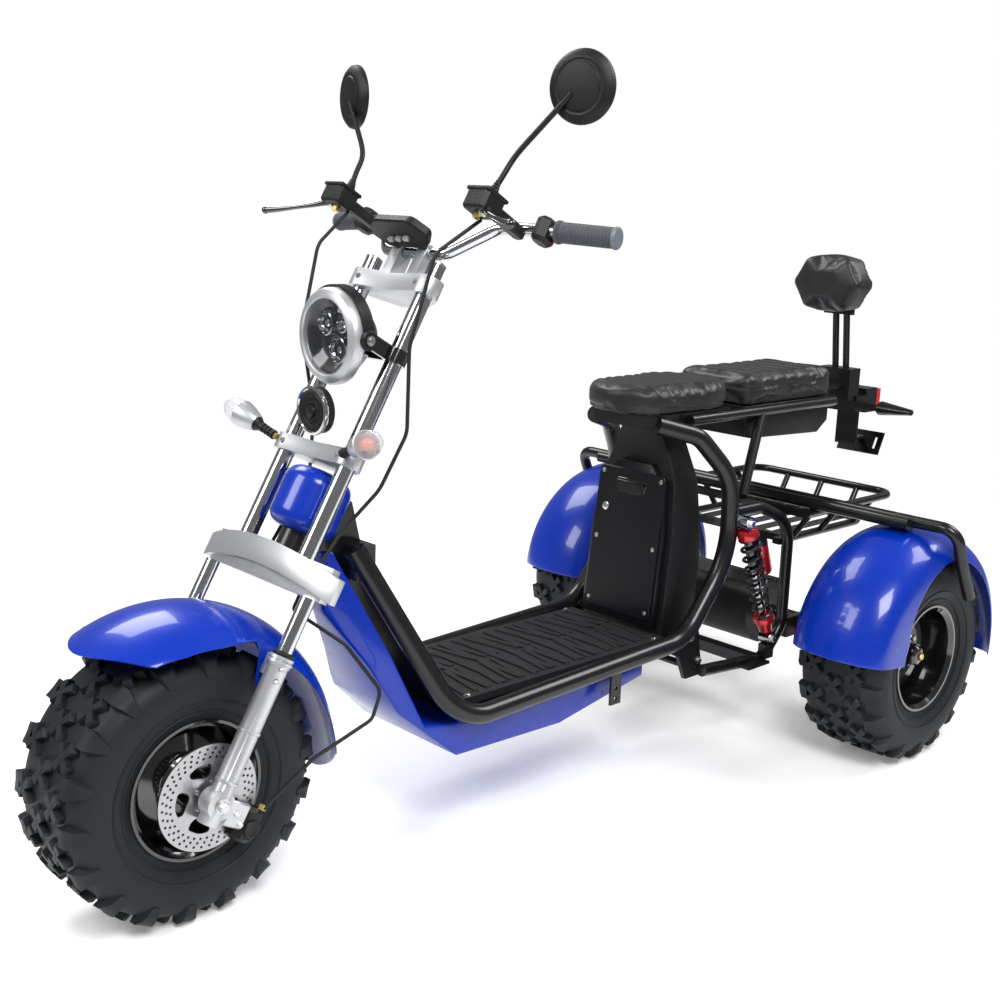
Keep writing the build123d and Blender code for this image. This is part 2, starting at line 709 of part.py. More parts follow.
LAMP = ahead_of((96, 0, 766))
with BuildPart() as lamp_bowl:
    with BuildSketch(LAMP.offset(-62)):
        Circle(34)
    with BuildSketch(LAMP.offset(-8)):
        Circle(72)
    loft()
    with BuildSketch(LAMP.offset(-8)):
        Circle(72)
    extrude(amount=8)
with BuildPart() as lamp_bezel:
    with BuildSketch(LAMP):
        Circle(80)
        Circle(62, mode=Mode.SUBTRACT)
    extrude(amount=22)
hand_in("headlamp_bezel", lamp_bezel, FORK)
with BuildPart() as lamp_lens:
    with BuildSketch(LAMP):
        Circle(61.7)
    extrude(amount=18)
hand_in("headlamp_lens", lamp_lens, FORK)

HORN = ahead_of((76, 0, 636))
with BuildPart() as horn:
    with BuildSketch(HORN):
        Circle(40)
    extrude(amount=18)
    with BuildSketch(HORN.offset(-16)):
        Circle(24)
    extrude(amount=20)
    with Locations((50, 0, 614)):
        Box(10, 24, 38)
    with Locations((38, 0, MID_CLAMP_Z + 18.3)):
        Box(30, 24, 8)
hand_in("horn", horn, FORK)

with BuildPart() as lamp_carrier:
    add(lamp_bowl.part)
    for side in (1, -1):
        with Locations((62, side * 84, 770)):
            Box(70, 6, 26)
        with Locations((TUBE_X, side * TUBE_Y, 770)):
            Cylinder(20, 24)
    with Locations((26, 0, 770)):
        Box(8, 150, 18)
    for side in (1, -1):
        with Locations((TUBE_X, side * TUBE_Y, 770)):
            Cylinder(TUBE_R + 0.3, 30, mode=Mode.SUBTRACT)
hand_in("headlamp_carrier", lamp_carrier, FORK)

# Front signals on short stems from the fork tubes
for side, tag in ((1, "left"), (-1, "right")):
    with BuildPart() as signal:
        with BuildSketch(Plane(origin=(70, side * 140, 592), z_dir=(0.3, side * 0.92, 0.2))):
            Circle(13)
        with BuildSketch(Plane(origin=(84, side * 182, 602), z_dir=(0.3, side * 0.92, 0.2))):
            Ellipse(24, 20)
        with BuildSketch(Plane(origin=(98, side * 216, 610), z_dir=(0.3, side * 0.92, 0.2))):
            Ellipse(7, 6)
        loft()
        add(rod((37.5, side * 98.4, 604), (71, side * 142, 592), 7))
    hand_in("front_signal_" + tag, signal, FORK)

with BuildPart() as dash:
    with Locations((42, 0, 948)):
        Box(12, 30, 63.4)
    with BuildSketch(Plane(origin=(66, 0, 985), x_dir=(0, 1, 0), z_dir=(-0.3, 0, 0.95))):
        Polygon((-78, 0), (-48, 32), (48, 32), (78, 0), (48, -32), (-48, -32), align=None)
    extrude(amount=18)
hand_in("dash", dash, FORK)

# Caliper straddles the disc behind the left slider
with BuildPart() as caliper:
    with Locations(Location((-48, 122, -22))):
        Box(46, 46, 62)
    with Locations(Location((AXLE_AHEAD, DISC_Y, 0), (90, 0, 0))):
        Cylinder(DISC_R + 6, 16, mode=Mode.SUBTRACT)
    with Locations(Location((-13.4, 137, -10))):
        Box(45.4, 14, 44)
hand_in("brake_caliper", caliper, FORK)

# Brake hose in a loop behind the leg, and the two looms down from the controls
HOSE_R = 3.2
BRAKE_HOSE = [(-60, 140, 9.9), (-100, 156, 112), (-186, 156, 205), (-188, 146, 254), (-95, 120, 302),
              (-20, 50, 320), (-20, 50, YOKE_Z - 0.2)]
LOOM = [(58, 180, 1017.1), (100, 160, 930), (62, 150, 780), (-22, 132, 660), (-44, 100, 560),
        (-24, 78, 470), (-14, 74, YOKE_Z + YOKE_THICK + 0.5)]
with BuildPart() as brake_hose:
    add(tube(BRAKE_HOSE, [30, 24, 20, 30, 8], HOSE_R))
hand_in("brake_hose", brake_hose, FORK)
for name, side in (("left", 1), ("right", -1)):
    with BuildPart() as loom:
        add(tube([(x, side * y, z) for x, y, z in LOOM], [40, 60, 60, 60, 30], HOSE_R))
    hand_in(f"hose_{name}", loom, FORK)
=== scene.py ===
import json
import logging
import math
from collections.abc import Callable, Iterable, Sequence
from dataclasses import dataclass, field
from enum import Enum

import bmesh
import bpy
from mathutils import Matrix, Vector


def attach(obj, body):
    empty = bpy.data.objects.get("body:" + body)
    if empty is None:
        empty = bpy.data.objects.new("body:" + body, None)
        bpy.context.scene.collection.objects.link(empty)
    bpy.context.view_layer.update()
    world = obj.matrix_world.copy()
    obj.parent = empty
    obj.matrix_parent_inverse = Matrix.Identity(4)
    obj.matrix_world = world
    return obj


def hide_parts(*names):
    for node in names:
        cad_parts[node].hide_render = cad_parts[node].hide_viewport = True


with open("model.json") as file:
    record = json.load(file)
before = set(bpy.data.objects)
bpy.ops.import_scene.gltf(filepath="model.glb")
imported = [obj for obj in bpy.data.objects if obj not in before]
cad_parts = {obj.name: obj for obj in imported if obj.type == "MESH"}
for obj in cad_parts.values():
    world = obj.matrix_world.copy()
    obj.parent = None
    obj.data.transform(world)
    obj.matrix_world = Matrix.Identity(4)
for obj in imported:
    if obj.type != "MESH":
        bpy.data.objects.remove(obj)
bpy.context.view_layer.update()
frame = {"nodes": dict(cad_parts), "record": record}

LOG = logging.getLogger("tricycle")
Point = tuple[float, float, float]
Flat = tuple[float, float]

# Sizes in millimetres, the same as the solids'
DATUM_X = -604.5
REAR_WHEEL_X = -36.0
FRONT_WHEEL_X = 1495.0
TYRE_R = 228.5
RAKE = math.radians(29.8)
AXLE_AHEAD = 33.6
REAR_TRACK_HALF = 404.0
SIDES = ((1, "left"), (-1, "right"))

# Direction of travel in the fork's frame
STRAIGHT_AHEAD: Point = (0.868, 0.0, -0.497)
WHITE = (1.0, 1.0, 1.0, 1.0)


def moved(x: float, y: float, z: float) -> Matrix:
    """Return a shift."""
    return Matrix.Translation((x, y, z))


MM = Matrix.Scale(0.001, 4)
BODY = MM @ moved(DATUM_X, 0, 0)
FORK = BODY @ Matrix.Translation(
    (FRONT_WHEEL_X - AXLE_AHEAD * math.cos(RAKE), 0, TYRE_R - AXLE_AHEAD * math.sin(RAKE))
) @ Matrix.Rotation(-RAKE, 4, "Y")
FRONT_HUB = BODY @ moved(FRONT_WHEEL_X, 0, TYRE_R)


def rear_hub(side: int) -> Matrix:
    """Return the place of a rear wheel's centre."""
    return BODY @ moved(REAR_WHEEL_X, side * REAR_TRACK_HALF, TYRE_R)


def around(radius: float, turn: float, z: float) -> Matrix:
    """Return a shift to a point of a circle, by its angle and height."""
    return moved(radius * math.cos(turn), radius * math.sin(turn), z)


def facing(origin: Sequence[float], axis: Sequence[float], ahead: Sequence[float] = (1, 0, 0)) -> Matrix:
    """Return a place whose Z runs along an axis.

    Args:
        origin: Where the place sits.
        axis: Direction of its Z.
        ahead: Direction that its X leans to.
    """
    up = Vector(axis).normalized()
    guide = Vector(ahead)
    if abs(up.dot(guide.normalized())) > 0.99:
        guide = Vector((0, 1, 0))
    side = up.cross(guide).normalized()
    front = side.cross(up)
    return Matrix((
        (front.x, side.x, up.x, origin[0]), (front.y, side.y, up.y, origin[1]),
        (front.z, side.z, up.z, origin[2]), (0, 0, 0, 1),
    ))


class Body(Enum):
    """The solids' bodies that pieces ride on."""

    CHASSIS = "chassis"
    STEERING = "steering"
    FRONT_WHEEL = "front_wheel"
    REAR_LEFT = "rear_wheel_left"
    REAR_RIGHT = "rear_wheel_right"


class Grain(Enum):
    """Surface relief that a finish can carry."""

    NONE = "none"
    FINE = "fine"
    LEATHER = "leather"
    BRUSHED = "brushed"
    SCUFFED = "scuffed"


def feed(tree: bpy.types.NodeTree, node: bpy.types.Node, inputs: dict) -> None:
    """Fill a node's inputs.

    Args:
        tree: The node's tree.
        node: The node.
        inputs: Plain values, or sockets to link from, by input.
    """
    for key, value in inputs.items():
        if isinstance(value, bpy.types.NodeSocket):
            tree.links.new(value, node.inputs[key])
        else:
            node.inputs[key].default_value = value


def add_node(tree: bpy.types.NodeTree, kind: str, inputs: dict | None = None, **settings) -> bpy.types.Node:
    """Add a shader node.

    Args:
        tree: The tree that gets it.
        kind: Its type, without the common prefix.
        inputs: Values or sockets by input.
        settings: Its own settings, which are made first.

    Returns:
        The new node.
    """
    made = tree.nodes.new("ShaderNode" + kind)
    for key, value in settings.items():
        setattr(made, key, value)
    feed(tree, made, inputs or {})
    return made


@dataclass(frozen=True)
class Finish:
    """One surface finish, built as a procedural node material."""

    name: str
    colour: Point
    roughness: float = 0.5
    metallic: float = 0.0
    coat: float = 0.0
    grain: Grain = Grain.FINE
    grain_scale: float = 400.0
    grain_depth: float = 0.05
    variation: float = 0.12
    alpha: float = 1.0
    sheen: float = 0.0
    dust: float = 0.0
    shine: float = 0.5

    def material(self) -> bpy.types.Material:
        """Return the finish's material, made on first use."""
        found = bpy.data.materials.get("finish_" + self.name)
        return found if found else self._build()

    def _build(self) -> bpy.types.Material:
        """Build the node tree.

        Returns:
            The new material.
        """
        made = bpy.data.materials.new("finish_" + self.name)
        made.use_nodes = True
        tree = made.node_tree
        place = add_node(tree, "TexCoord").outputs["Object"]
        broad = add_node(tree, "TexNoise", {"Scale": 9.0, "Detail": 4.0, "Vector": place}).outputs["Fac"]
        dark = tuple(c * (1.0 - self.variation) for c in self.colour)
        light = tuple(min(1.0, c * (1.0 + self.variation) + self.dust) for c in self.colour)
        tint = add_node(tree, "Mix", {"A": (*dark, 1.0), "B": (*light, 1.0), "Factor": broad},
                        data_type="RGBA")
        rough = add_node(tree, "MapRange", {
            "To Min": max(0.0, self.roughness * 0.8), "To Max": min(1.0, self.roughness * 1.2),
            "Value": broad,
        })
        shader = tree.nodes["Principled BSDF"]
        feed(tree, shader, {
            "Base Color": tint.outputs["Result"], "Roughness": rough.outputs["Result"],
            "Metallic": self.metallic, "Coat Weight": self.coat, "Coat Roughness": 0.05,
            "Alpha": self.alpha, "Specular IOR Level": self.shine, "Sheen Weight": self.sheen,
        })
        if self.grain is not Grain.NONE:
            bump = add_node(tree, "Bump", {
                "Distance": 0.001, "Strength": self.grain_depth, "Height": self._height(tree, place),
            })
            feed(tree, shader, {"Normal": bump.outputs["Normal"]})
        return made

    def _height(self, tree: bpy.types.NodeTree, place: bpy.types.NodeSocket) -> bpy.types.NodeSocket:
        """Add the grain.

        Args:
            tree: The material's tree.
            place: The texture coordinates.

        Returns:
            The height of the grain.
        """
        size = {"Scale": self.grain_scale}
        if self.grain is Grain.LEATHER:
            return add_node(tree, "TexVoronoi", {**size, "Vector": place},
                            feature="DISTANCE_TO_EDGE").outputs["Distance"]
        if self.grain is Grain.BRUSHED:
            place = add_node(tree, "Mapping", {"Scale": (1.0, 14.0, 1.0), "Vector": place}).outputs["Vector"]
        else:
            size["Detail"] = 6.0 if self.grain is Grain.SCUFFED else 2.0
        return add_node(tree, "TexNoise", {**size, "Vector": place}).outputs["Fac"]


BLUE_PAINT = Finish("blue_paint", (0.0002, 0.024, 0.33), 0.28, coat=0.45, shine=0.25, grain_scale=90.0,
                    grain_depth=0.015, variation=0.08)
FRAME_BLACK = Finish("frame_black", (0.006, 0.006, 0.007), 0.3, coat=0.25, shine=0.3, grain_scale=900.0,
                     grain_depth=0.05)
PLASTIC_BLACK = Finish("plastic_black", (0.006, 0.006, 0.007), 0.46, shine=0.28, grain_scale=1400.0,
                       grain_depth=0.12)
GLOSS_BLACK = Finish("gloss_black", (0.005, 0.005, 0.006), 0.14, coat=1.0, grain_scale=60.0,
                     grain_depth=0.01)
PANEL_BLACK = Finish("panel_black", (0.004, 0.004, 0.006), 0.36, coat=0.1, shine=0.22, grain_scale=1100.0,
                     grain_depth=0.1)
TYRE_RUBBER = Finish("tyre_rubber", (0.008, 0.0105, 0.013), 0.58, shine=0.26, grain=Grain.SCUFFED,
                     grain_scale=160.0, grain_depth=0.3, variation=0.3, dust=0.002)
SOFT_RUBBER = Finish("soft_rubber", (0.010, 0.0105, 0.012), 0.56, shine=0.3, grain_scale=700.0,
                     grain_depth=0.15)
GRIP_RUBBER = Finish("grip_rubber", (0.045, 0.05, 0.058), 0.6, grain_scale=900.0, grain_depth=0.3)
SADDLE_LEATHER = Finish("saddle_leather", (0.009, 0.009, 0.010), 0.4, shine=0.4, grain=Grain.LEATHER,
                        grain_scale=420.0, grain_depth=0.22, sheen=0.05, variation=0.2)
SILVER_PAINT = Finish("silver_paint", (0.52, 0.53, 0.545), 0.4, metallic=0.75, grain_scale=1200.0,
                      grain_depth=0.06, variation=0.06)
CHROME = Finish("chrome", (0.52, 0.53, 0.54), 0.11, metallic=1.0, grain_scale=30.0, grain_depth=0.004,
                variation=0.03)
DISC_STEEL = Finish("disc_steel", (0.40, 0.40, 0.41), 0.32, metallic=1.0, grain=Grain.BRUSHED,
                    grain_scale=260.0, grain_depth=0.1, variation=0.08)
BOLT_STEEL = Finish("bolt_steel", (0.55, 0.55, 0.54), 0.28, metallic=1.0, grain=Grain.BRUSHED,
                    grain_scale=500.0, grain_depth=0.08, variation=0.15)
BRASS = Finish("brass", (0.55, 0.42, 0.16), 0.3, metallic=1.0, grain_scale=500.0, grain_depth=0.08)
CLEAR_LENS = Finish("clear_lens", (0.62, 0.64, 0.67), 0.06, alpha=0.38, coat=1.0, grain=Grain.NONE,
                    variation=0.02)
SMOKE_LENS = Finish("smoke_lens", (0.02, 0.024, 0.03), 0.04, alpha=0.32, coat=1.0, grain=Grain.NONE,
                    variation=0.02)
RED_LENS = Finish("red_lens", (0.50, 0.006, 0.008), 0.12, coat=1.0, grain_scale=80.0, grain_depth=0.02)
AMBER = Finish("amber", (0.80, 0.11, 0.008), 0.25, coat=0.4, grain_scale=300.0, grain_depth=0.05)
RED_METAL = Finish("red_metal", (0.45, 0.01, 0.015), 0.26, metallic=0.6, coat=0.6, grain_scale=300.0,
                   grain_depth=0.03)
CAP_GREY = Finish("cap_grey", (0.12, 0.135, 0.16), 0.45, grain_scale=900.0, grain_depth=0.1)
MIRROR_GLASS = Finish("mirror_glass", (0.86, 0.88, 0.9), 0.02, metallic=1.0, grain=Grain.NONE,
                      variation=0.01)

SLOT_FINISH: dict[str, Finish] = {
    "tyre": TYRE_RUBBER, "gloss_black": GLOSS_BLACK, "steel": DISC_STEEL, "frame_black": FRAME_BLACK,
    "mat": SOFT_RUBBER, "plastic_black": PLASTIC_BLACK, "gloss_panel": PANEL_BLACK, "blue": BLUE_PAINT,
    "leather": SADDLE_LEATHER, "red_lens": RED_LENS, "silver": SILVER_PAINT, "chrome": CHROME,
    "rubber": SOFT_RUBBER, "clear_lens": CLEAR_LENS,
}
NODE_FINISH: dict[str, Finish] = {"headlamp_carrier": GLOSS_BLACK}
# node, body, slot, width of the rounded edges in millimetres
SOFTENED: tuple[tuple[str, Body, str, float], ...] = (
    ("fork_sliders", Body.STEERING, "silver", 1.6), ("lower_yoke", Body.STEERING, "silver", 3.0),
    ("mid_clamp", Body.STEERING, "silver", 2.0), ("top_clamp", Body.STEERING, "silver", 2.0),
    ("battery_case", Body.CHASSIS, "plastic_black", 2.0), ("battery_panel", Body.CHASSIS, "gloss_panel", 2.0),
    ("lower_fairing", Body.CHASSIS, "blue", 4.0), ("leg_shield", Body.CHASSIS, "plastic_black", 3.0),
    ("seat_base", Body.CHASSIS, "plastic_black", 2.0),
)


def declare(piece: bpy.types.Object, body: Body, replaces: Iterable[str] = ()) -> None:
    """Tell the frame what a piece rides on and replaces.

    Args:
        piece: The finished object.
        body: The body that carries it.
        replaces: Nodes that it stands in for.
    """
    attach(piece, body.value)
    nodes = tuple(replaces)
    if nodes:
        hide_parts(*nodes)
    LOG.info("%s: %d faces", piece.name, len(piece.data.polygons))


class Shape:
    """Mesh under construction, gathered from turned, swept and cut forms."""

    def __init__(self) -> None:
        """Start an empty mesh."""
        self.points: list[Vector] = []
        self.faces: list[tuple[int, ...]] = []
        self.marks: list[int] = []

    def take(self, points: Iterable[Sequence[float]], faces: Iterable[Sequence[int]], at: Matrix,
             mark: int = 0) -> None:
        """Add points and faces.

        Args:
            points: Local points.
            faces: Faces by local index.
            at: Place of the points.
            mark: Which of the piece's finishes the faces take.
        """
        base = len(self.points)
        self.points.extend(at @ Vector(p) for p in points)
        for face in faces:
            self.faces.append(tuple(base + i for i in face))
            self.marks.append(mark)

    def rings(self, rings: Sequence[Sequence[Sequence[float]]], at: Matrix, mark: int = 0,
              capped: bool = True, looped: bool = False) -> None:
        """Skin a row of closed rings with equal counts.

        Args:
            rings: Rings of points.
            at: Place of the points.
            mark: Finish index.
            capped: Whether the first and last rings are closed off.
            looped: Whether the last ring joins the first.
        """
        count = len(rings[0])
        points = [p for ring in rings for p in ring]
        faces: list[tuple[int, ...]] = []
        last = len(rings) if looped else len(rings) - 1
        for row in range(last):
            after = (row + 1) % len(rings)
            for k in range(count):
                n = (k + 1) % count
                faces.append((row * count + k, row * count + n, after * count + n, after * count + k))
        if capped and not looped:
            faces.append(tuple(range(count))[::-1])
            faces.append(tuple((len(rings) - 1) * count + k for k in range(count)))
        self.take(points, faces, at, mark)

    def turned(self, profile: Sequence[Flat], at: Matrix, mark: int = 0, sides: int = 40,
               capped: bool = True) -> None:
        """Turn a profile about the place's Z.

        Args:
            profile: Points of (radius, height).
            at: The place.
            mark: Finish index.
            sides: Facets round the axis.
            capped: Whether the ends are closed off.
        """
        rings = []
        for radius, height in profile:
            rings.append([
                (radius * math.cos(math.tau * k / sides), radius * math.sin(math.tau * k / sides), height)
                for k in range(sides)
            ])
        self.rings(rings, at, mark, capped=capped)

    def spun(self, profile: Sequence[Flat], at: Matrix, mark: int = 0, sides: int = 40) -> None:
        """Turn a profile and leave its ends open."""
        self.turned(profile, at, mark, sides, capped=False)

    def slab(self, outline: Sequence[Flat], depth: float, at: Matrix, chamfer: float = 0.8,
             mark: int = 0) -> None:
        """Cut a plate from an outline, with chamfered rims.

        Args:
            outline: Points of the outline, counter-clockwise.
            depth: Thickness along Z.
            at: Place of the plate's lower face.
            chamfer: Width of the chamfer.
            mark: Finish index.
        """
        inner = inset(outline, chamfer)
        self.rings([
            [(x, y, 0.0) for x, y in inner], [(x, y, chamfer) for x, y in outline],
            [(x, y, depth - chamfer) for x, y in outline], [(x, y, depth) for x, y in inner],
        ], at, mark)

    def block(self, size: Point, at: Matrix, chamfer: float = 1.5, mark: int = 0) -> None:
        """Add a box with softened corners.

        Args:
            size: Its three widths.
            at: Its centre.
            chamfer: Width of the softened edges.
            mark: Finish index.
        """
        x, y, z = (0.5 * s for s in size)
        c = min(chamfer, 0.45 * x, 0.45 * y, 0.45 * z) * 1.6
        outline = [(x - c, -y), (x, -y + c), (x, y - c), (x - c, y), (-x + c, y), (-x, y - c), (-x, -y + c),
                   (-x + c, -y)]
        self.slab(outline, size[2], at @ moved(0, 0, -z), c * 0.6, mark)

    def swept(self, route: Sequence[Sequence[float]], radius: float, at: Matrix, mark: int = 0,
              sides: int = 14,
              swell: Callable[[float], float] | None = None) -> None:
        """Sweep a circle along a route of closely spaced points.

        Args:
            route: The points of the centre line.
            radius: Radius of the tube.
            at: Place of the points.
            mark: Finish index.
            sides: Facets round the tube.
            swell: Factor on the radius by the distance run.
        """
        line = [Vector(p) for p in route]
        up = Vector((0.137, 0.243, 0.96))
        rings = []
        run = 0.0
        for k, here in enumerate(line):
            ahead = (line[min(k + 1, len(line) - 1)] - line[max(k - 1, 0)]).normalized()
            side = up.cross(ahead).normalized()
            up = ahead.cross(side)
            run += (here - line[k - 1]).length if k else 0.0
            r = radius * (swell(run) if swell else 1.0)
            rings.append([
                here + (side * math.cos(math.tau * j / sides) + up * math.sin(math.tau * j / sides)) * r
                for j in range(sides)
            ])
        self.rings(rings, at, mark)

    def bolt(self, at: Matrix, radius: float = 5.0, mark: int = 0, height: float = 4.0) -> None:
        """Add a washer and a hexagon head.

        Args:
            at: Where it stands; Z points out of the surface.
            radius: Radius of the head.
            mark: Finish index.
            height: Height of the head.
        """
        self.turned([(radius * 1.35, 0.0), (radius * 1.35, 1.0), (radius * 1.0, 1.2)], at, mark, 20)
        hexagon = [(radius * math.cos(math.tau * k / 6),
                    radius * math.sin(math.tau * k / 6)) for k in range(6)]
        self.slab(hexagon, height, at @ moved(0, 0, 1.0), 0.7, mark)

    def finished(self, name: str, body: Body, finishes: Sequence[Finish],
                 replaces: Iterable[str] = (), crease: float = 32.0) -> bpy.types.Object:
        """Make the piece.

        Args:
            name: Plain name of the piece.
            body: The body that carries it.
            finishes: Its finishes, in the order of the marks.
            replaces: Nodes that it stands in for.
            crease: Angle above which an edge stays sharp.

        Returns:
            The new object.
        """
        mesh = bpy.data.meshes.new(name)
        mesh.from_pydata([tuple(p) for p in self.points], [], self.faces)
        for finish in finishes:
            mesh.materials.append(finish.material())
        mesh.polygons.foreach_set("material_index", self.marks)
        tidy = bmesh.new()
        tidy.from_mesh(mesh)
        bmesh.ops.recalc_face_normals(tidy, faces=tidy.faces)
        tidy.to_mesh(mesh)
        tidy.free()
        mesh.shade_smooth()
        mesh.set_sharp_from_angle(angle=math.radians(crease))
        piece = bpy.data.objects.new(name, mesh)
        bpy.context.scene.collection.objects.link(piece)
        declare(piece, body, replaces)
        return piece


def inset(outline: Sequence[Flat], width: float) -> list[Flat]:
    """Move an outline inwards.

    Args:
        outline: Its points, counter-clockwise.
        width: How far it moves.

    Returns:
        The moved outline.
    """
    moved = []
    count = len(outline)
    for k in range(count):
        before, here, after = (Vector(outline[(k + d) % count]) for d in (-1, 0, 1))
        a = (here - before).normalized()
        b = (after - here).normalized()
        left = Vector((-a.y - b.y, a.x + b.x))
        left.normalize()
        share = max(0.35, left.dot(Vector((-a.y, a.x))))
        moved.append(tuple(here + left * (width / share)))
    return moved


def rounded(corners: Sequence[Flat], radius: float, steps: int = 5) -> list[Flat]:
    """Round the corners of an outline.

    Args:
        corners: The corner points.
        radius: How far from each corner the round starts.
        steps: Points along each round.
    """
    out: list[Flat] = []
    count = len(corners)
    for k in range(count):
        before, here, after = (Vector(corners[(k + d) % count]) for d in (-1, 0, 1))
        reach = min(radius, 0.45 * (here - before).length, 0.45 * (after - here).length)
        start = here + (before - here).normalized() * reach
        end = here + (after - here).normalized() * reach
        for j in range(steps + 1):
            t = j / steps
            out.append(tuple(start * (1 - t) ** 2 + here * 2 * t * (1 - t) + end * t * t))
    return out


def flowing(points: Sequence[Sequence[float]], steps: int = 12) -> list[Vector]:
    """Return a smooth line through a few points.

    Args:
        points: Points that the line passes through.
        steps: Pieces between two points.
    """
    line = [Vector(p) for p in points]
    line = [2 * line[0] - line[1], *line, 2 * line[-1] - line[-2]]
    out = []
    for k in range(1, len(line) - 2):
        a, b, c, d = line[k - 1:k + 3]
        for j in range(steps):
            t = j / steps
            out.append(0.5 * (2 * b + (c - a) * t + (2 * a - 5 * b + 4 * c - d) * t ** 2
                              + (3 * b - a - 3 * c + d) * t ** 3))
    out.append(line[-2])
    return out


def softened(node: str, body: Body, slot: str, width: float, crease: float = 34.0) -> None:
    """Stand in for a node with a copy whose edges are rounded.

    Args:
        node: The solid's node.
        body: The body that carries it.
        slot: The record's material slot.
        width: Width of the rounded edges in millimetres.
        crease: Angle above which an edge is rounded.
    """
    source = frame["nodes"][node]
    mesh = source.data.copy()
    mesh.transform(source.matrix_world)
    mesh.materials.clear()
    mesh.materials.append(SLOT_FINISH[slot].material())
    form = bmesh.new()
    form.from_mesh(mesh)
    bmesh.ops.remove_doubles(form, verts=form.verts, dist=1e-6)
    bmesh.ops.dissolve_limit(form, angle_limit=math.radians(2.0), verts=form.verts, edges=form.edges)
    edges = [e for e in form.edges
             if len(e.link_faces) == 2 and e.calc_face_angle(0.0) > math.radians(crease)]
    bmesh.ops.bevel(form, geom=edges, offset=width * 0.001, offset_type="OFFSET", segments=2, profile=0.5,
                    affect="EDGES", clamp_overlap=True)
    form.to_mesh(mesh)
    form.free()
    mesh.shade_smooth()
    mesh.set_sharp_from_angle(angle=math.radians(40.0))
    piece = bpy.data.objects.new(node + "_dressed", mesh)
    bpy.context.scene.collection.objects.link(piece)
    declare(piece, body, (node,))


